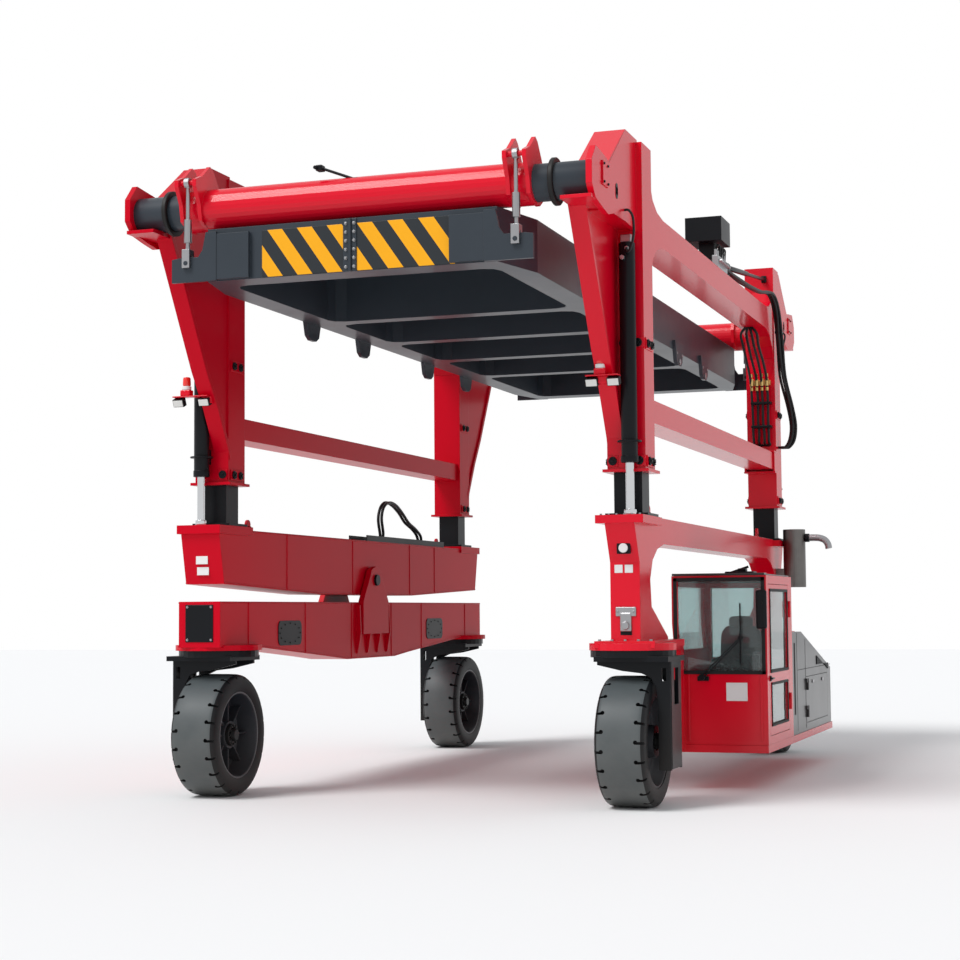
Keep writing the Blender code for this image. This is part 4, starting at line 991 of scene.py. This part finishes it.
for corner, sx, sy in CORNERS:
    face, cover_y, hole_y = sx * HEAD_FACE, sy * COVER_Y, sy * HAND_HOLE_Y
    red, dark = bmesh.new(), bmesh.new()
    block(red, at(face, cover_y - 0.085, 5.13), at(face + sx * 0.012, cover_y + 0.085, 5.33), 0.003, 1)
    for dy in (-0.06, 0.06):
        for dz in (-0.075, 0.075):
            bolt(dark, at(face + sx * 0.012, cover_y + dy, 5.23 + dz), (sx, 0, 0), 0.010, 0.009)
    for z in (5.20, 5.14):
        drum(dark, at(face, hole_y, z), at(face + sx * 0.003, hole_y, z), 0.035, sides=24)
    block(dark, at(face, hole_y - 0.035, 5.14), at(face + sx * 0.003, hole_y + 0.035, 5.20))
    # Covers on the left heads take the darker red, which is painted shade.
    finished(red, f"head_cover_{corner}", "portal", "frame_red" if sx > 0 else "painted_shade_red")
    finished(dark, f"head_cover_bolts_{corner}", "portal", "machine_black")
    mesh = bmesh.new()
    tube(mesh, [at(sx * x, sy * y, z) for x, y, z in RAM_HOSE], 0.011)
    finished(mesh, f"ram_hose_{corner}", "portal", "hose_rubber", smooth=True)
print("masts fitted out")

# %% [markdown]
# The legs carry blank plates, a lamp under each console on a black box that paints the shade of a recess, a cast
# latch with a thin black sheet under it as its painted shadow, lifting lugs on the decks and rows of bolts where
# flanges meet.

# %% Legs, lugs and decks
mesh, pale, steel = bmesh.new(), bmesh.new(), bmesh.new()
# A black box behind the lamp paints the shade of a recess.
block(mesh, at(1.93, -3.53, 2.16), at(2.05, -3.505, 2.33), 0.004, 1)
# A thin black sheet under the latch is a painted shadow.
block(mesh, at(1.935, -3.4515, 1.47), at(2.035, -3.4505, 1.55), 0.0)
drum(pale, at(1.99, -3.545, 2.21), at(1.99, -3.531, 2.21), 0.040, sides=24, bevel=0.003)
for x in (1.925, 2.015):
    block(pale, at(x - 0.036, -3.4535, 2.00), at(x + 0.036, -3.4505, 2.07), 0.001, 1)
block(steel, at(1.895, -3.463, 1.63), at(2.075, -3.4505, 1.71), 0.008, 2)
block(steel, at(1.935, -3.470, 1.50), at(2.035, -3.4505, 1.66), 0.012, 2)
drum(steel, at(1.985, -3.452, 1.55), at(1.985, -3.500, 1.55), 0.034, sides=24, bevel=0.006)
for x in (1.915, 2.055):
    bolt(steel, at(x, -3.463, 1.67), (0, -1, 0), 0.009, 0.008)
finished(mesh, "leg_painted_shade", "right_frame", "machine_black")
finished(pale, "leg_lamp_and_plates", "right_frame", "label_white")
finished(steel, "leg_latch", "right_frame", "link_steel")
mesh = bmesh.new()
for z in (2.07, 2.17):
    end_y = 3.50 + 0.10 * (z - 1.95) / 0.45      # the left beam's end face leans out as it rises
    block(mesh, at(-2.05, -end_y - 0.008, z - 0.038), at(-1.93, -end_y - 0.002, z + 0.038), 0.001, 1)
finished(mesh, "left_end_plates", "left_frame", "label_white")
# The left lugs take the darker red, which is painted shade.
for name, body, x, z, paint in (("lifting_lugs_left", "left_frame", -1.985, 2.46, "painted_shade_red"),
                                ("lifting_lugs_right", "right_frame", 1.985, 2.50, "frame_red")):
    mesh = bmesh.new()
    for sy in (-1, 1):
        drum(mesh, at(x - 0.012, sy * 2.62, z + 0.075), at(x + 0.012, sy * 2.62, z + 0.075), 0.045, sides=28,
             bevel=0.003)
        block(mesh, at(x - 0.012, sy * 2.62 - 0.062, z + 0.0005), at(x + 0.012, sy * 2.62 + 0.062, z + 0.06),
              0.003, 1)
    finished(mesh, name, body, paint)
mesh = bmesh.new()
for sy in (-1, 1):
    for x in (1.76, 1.87, 1.985, 2.10, 2.21):
        bolt(mesh, at(x, sy * 3.49, 1.4205), (0, 0, 1), 0.013, 0.012)
    for k in range(6):
        bolt(mesh, at(LINE - 0.17 + 0.068 * k, sy * 3.60, 2.4905), (0, 0, 1), 0.010, 0.010)
finished(mesh, "flange_bolts", "right_frame", "link_steel")
print("legs fitted out")

# %% [markdown]
# On the top beams: a valve block with couplings under the control box, a slim push rod to the far mast, a
# red bracket where the tie bar meets it, a camera on a short arm, and the bend of the exhaust.

# %% Valves, push rod, bracket, camera and exhaust bend
mesh = bmesh.new()
block(mesh, at(1.86, -0.14, 5.206), at(1.915, 0.34, 5.33), 0.005, 1)
block(mesh, at(2.085, -0.14, 5.206), at(2.15, 0.34, 5.33), 0.005, 1)
for k in range(6):
    y = -0.10 + 0.078 * k
    for x0, x1 in ((2.15, 2.19), (1.86, 1.82)):
        drum(mesh, at(x0, y, 5.27), at(x1, y, 5.27), 0.020, sides=6, bevel=0.002)
    drum(mesh, at(2.118, y, 5.33), at(2.118, y, 5.39), 0.017, sides=16)
finished(mesh, "valve_block", "portal", "link_steel")
VALVE_HOSE = ((2.118, 0, 5.38), (2.118, 0.01, 5.42), (2.13, 0.04, 5.455), (2.14, 0.07, 5.44),
              (2.135, 0.085, 5.40), (2.13, 0.09, 5.33))
mesh = bmesh.new()
for k in range(4):
    y = -0.06 + 0.09 * k
    tube(mesh, [at(x, y + dy, z) for x, dy, z in VALVE_HOSE], 0.009, sides=8)
finished(mesh, "valve_hoses", "portal", "hose_rubber", smooth=True)
mesh = bmesh.new()
drum(mesh, at(2.05, 0.80, 5.36), at(2.05, 3.025, 5.60), 0.020, sides=24)
drum(mesh, at(2.05, 0.80, 5.36), at(2.05, 1.90, 5.479), 0.030, sides=24, bevel=0.004)
block(mesh, at(2.02, 0.74, 5.206), at(2.08, 0.84, 5.40), 0.008, 2)
block(mesh, at(2.02, 2.99, 5.56), at(2.08, 3.0295, 5.64), 0.006, 2)
finished(mesh, "push_rod", "portal", "machine_black", smooth=True)
mesh = bmesh.new()
block(mesh, at(1.80, 2.86, 3.28), at(2.17, 3.0295, 3.30), 0.004, 1)
block(mesh, at(1.80, 2.82, 3.521), at(2.17, 3.0295, 3.54), 0.004, 1)
for x in (1.815, 2.155):
    block(mesh, at(x - 0.009, 2.86, 3.30), at(x + 0.009, 3.0295, 3.521), 0.003, 1)
finished(mesh, "tie_bar_bracket", "portal", "frame_red")
mesh = bmesh.new()
drum(mesh, at(0.0, -4.64, 5.31), at(-0.307, -4.64, 5.43), 0.012, sides=16)
block(mesh, at(-0.35, -4.68, 5.405), at(-0.29, -4.60, 5.455), 0.008, 2)
drum(mesh, at(-0.345, -4.681, 5.43), at(-0.345, -4.70, 5.43), 0.016, sides=20)
block(mesh, at(-0.02, -4.66, 5.29), at(0.03, -4.60, 5.325), 0.006, 2)
finished(mesh, "spreader_camera", "portal", "machine_black")
mesh = bmesh.new()
drum(mesh, at(2.4505, 3.20, 2.52), at(2.50, 3.20, 2.52), 0.050, sides=32, bevel=0.004)
finished(mesh, "exhaust_clamp", "right_frame", "machine_black", smooth=True)
mesh = bmesh.new()
tube(mesh, [at(x, MAST_Y, z) for x, z in ((2.50, 2.52), (2.56, 2.52), (2.62, 2.515), (2.68, 2.49),
                                          (2.715, 2.44), (2.725, 2.39))], 0.040, sides=24)
finished(mesh, "exhaust_bend", "right_frame", "link_steel", smooth=True)
mesh = bmesh.new()
for sx in (-1, 1):
    for y in (-2.27, -0.96, 0.96, 2.27):
        drum(mesh, at(sx * 1.4805, y, 4.385), at(sx * 1.492, y, 4.385), 0.034, sides=24, bevel=0.003)
        for dy in (-0.115, 0.115):
            drum(mesh, at(sx * 1.4805, y + dy, 4.47), at(sx * 1.486, y + dy, 4.47), 0.014, sides=16)
finished(mesh, "spreader_lug_pins", "carriage", "link_steel", smooth=True)
print("top beams fitted out")

# %% [markdown]
# Floor, backdrop and light. A pale floor runs out to a white world. The camera sees that white at full
# strength and reflections see part of it, so it doesn't flood the machine with light.

# %% Floor and light
mesh = bmesh.new()
bmesh.ops.create_grid(mesh, x_segments=1, y_segments=1, size=60)
bmesh.ops.translate(mesh, vec=(0, 0, -0.0005), verts=mesh.verts)
data = bpy.data.meshes.new("floor")
mesh.to_mesh(data)
mesh.free()
floor = bpy.data.objects.new("floor", data)
bpy.context.scene.collection.objects.link(floor)
pale = bpy.data.materials.new("floor_pale")
pale.use_nodes = True
pale.node_tree.nodes["Principled BSDF"].inputs["Base Color"].default_value = (0.86, 0.86, 0.86, 1)
pale.node_tree.nodes["Principled BSDF"].inputs["Roughness"].default_value = 0.9
data.materials.append(pale)

world = bpy.data.worlds.new("studio")
bpy.context.scene.world = world
world.use_nodes = True
tree = world.node_tree
tree.nodes.clear()
path = tree.nodes.new("ShaderNodeLightPath")
seen = wire(tree, "ShaderNodeMath", operation="MULTIPLY_ADD",
            inputs={0: path.outputs["Is Glossy Ray"], 1: 0.35, 2: path.outputs["Is Camera Ray"]})
seen = wire(tree, "ShaderNodeMath", {0: seen.outputs[0], 1: path.outputs["Is Transmission Ray"]},
            operation="MAXIMUM", use_clamp=True)
dim = wire(tree, "ShaderNodeBackground", {"Color": (0.95, 0.97, 1.0, 1), "Strength": 0.62})
bright = wire(tree, "ShaderNodeBackground", {"Color": (1, 1, 1, 1), "Strength": 1.0})
mixed = wire(tree, "ShaderNodeMixShader", {0: seen.outputs[0], 1: dim.outputs[0], 2: bright.outputs[0]})
end = tree.nodes.new("ShaderNodeOutputWorld")
tree.links.new(mixed.outputs[0], end.inputs["Surface"])

sun = bpy.data.lights.new("sky_light", "SUN")
sun.energy, sun.angle = 2.1, math.radians(25)
lamp = bpy.data.objects.new("sky_light", sun)
lamp.rotation_euler = (math.radians(38), math.radians(-6), math.radians(-30))
bpy.context.scene.collection.objects.link(lamp)
bpy.context.scene.view_settings.view_transform = "Standard"
print("lights and floor ready")
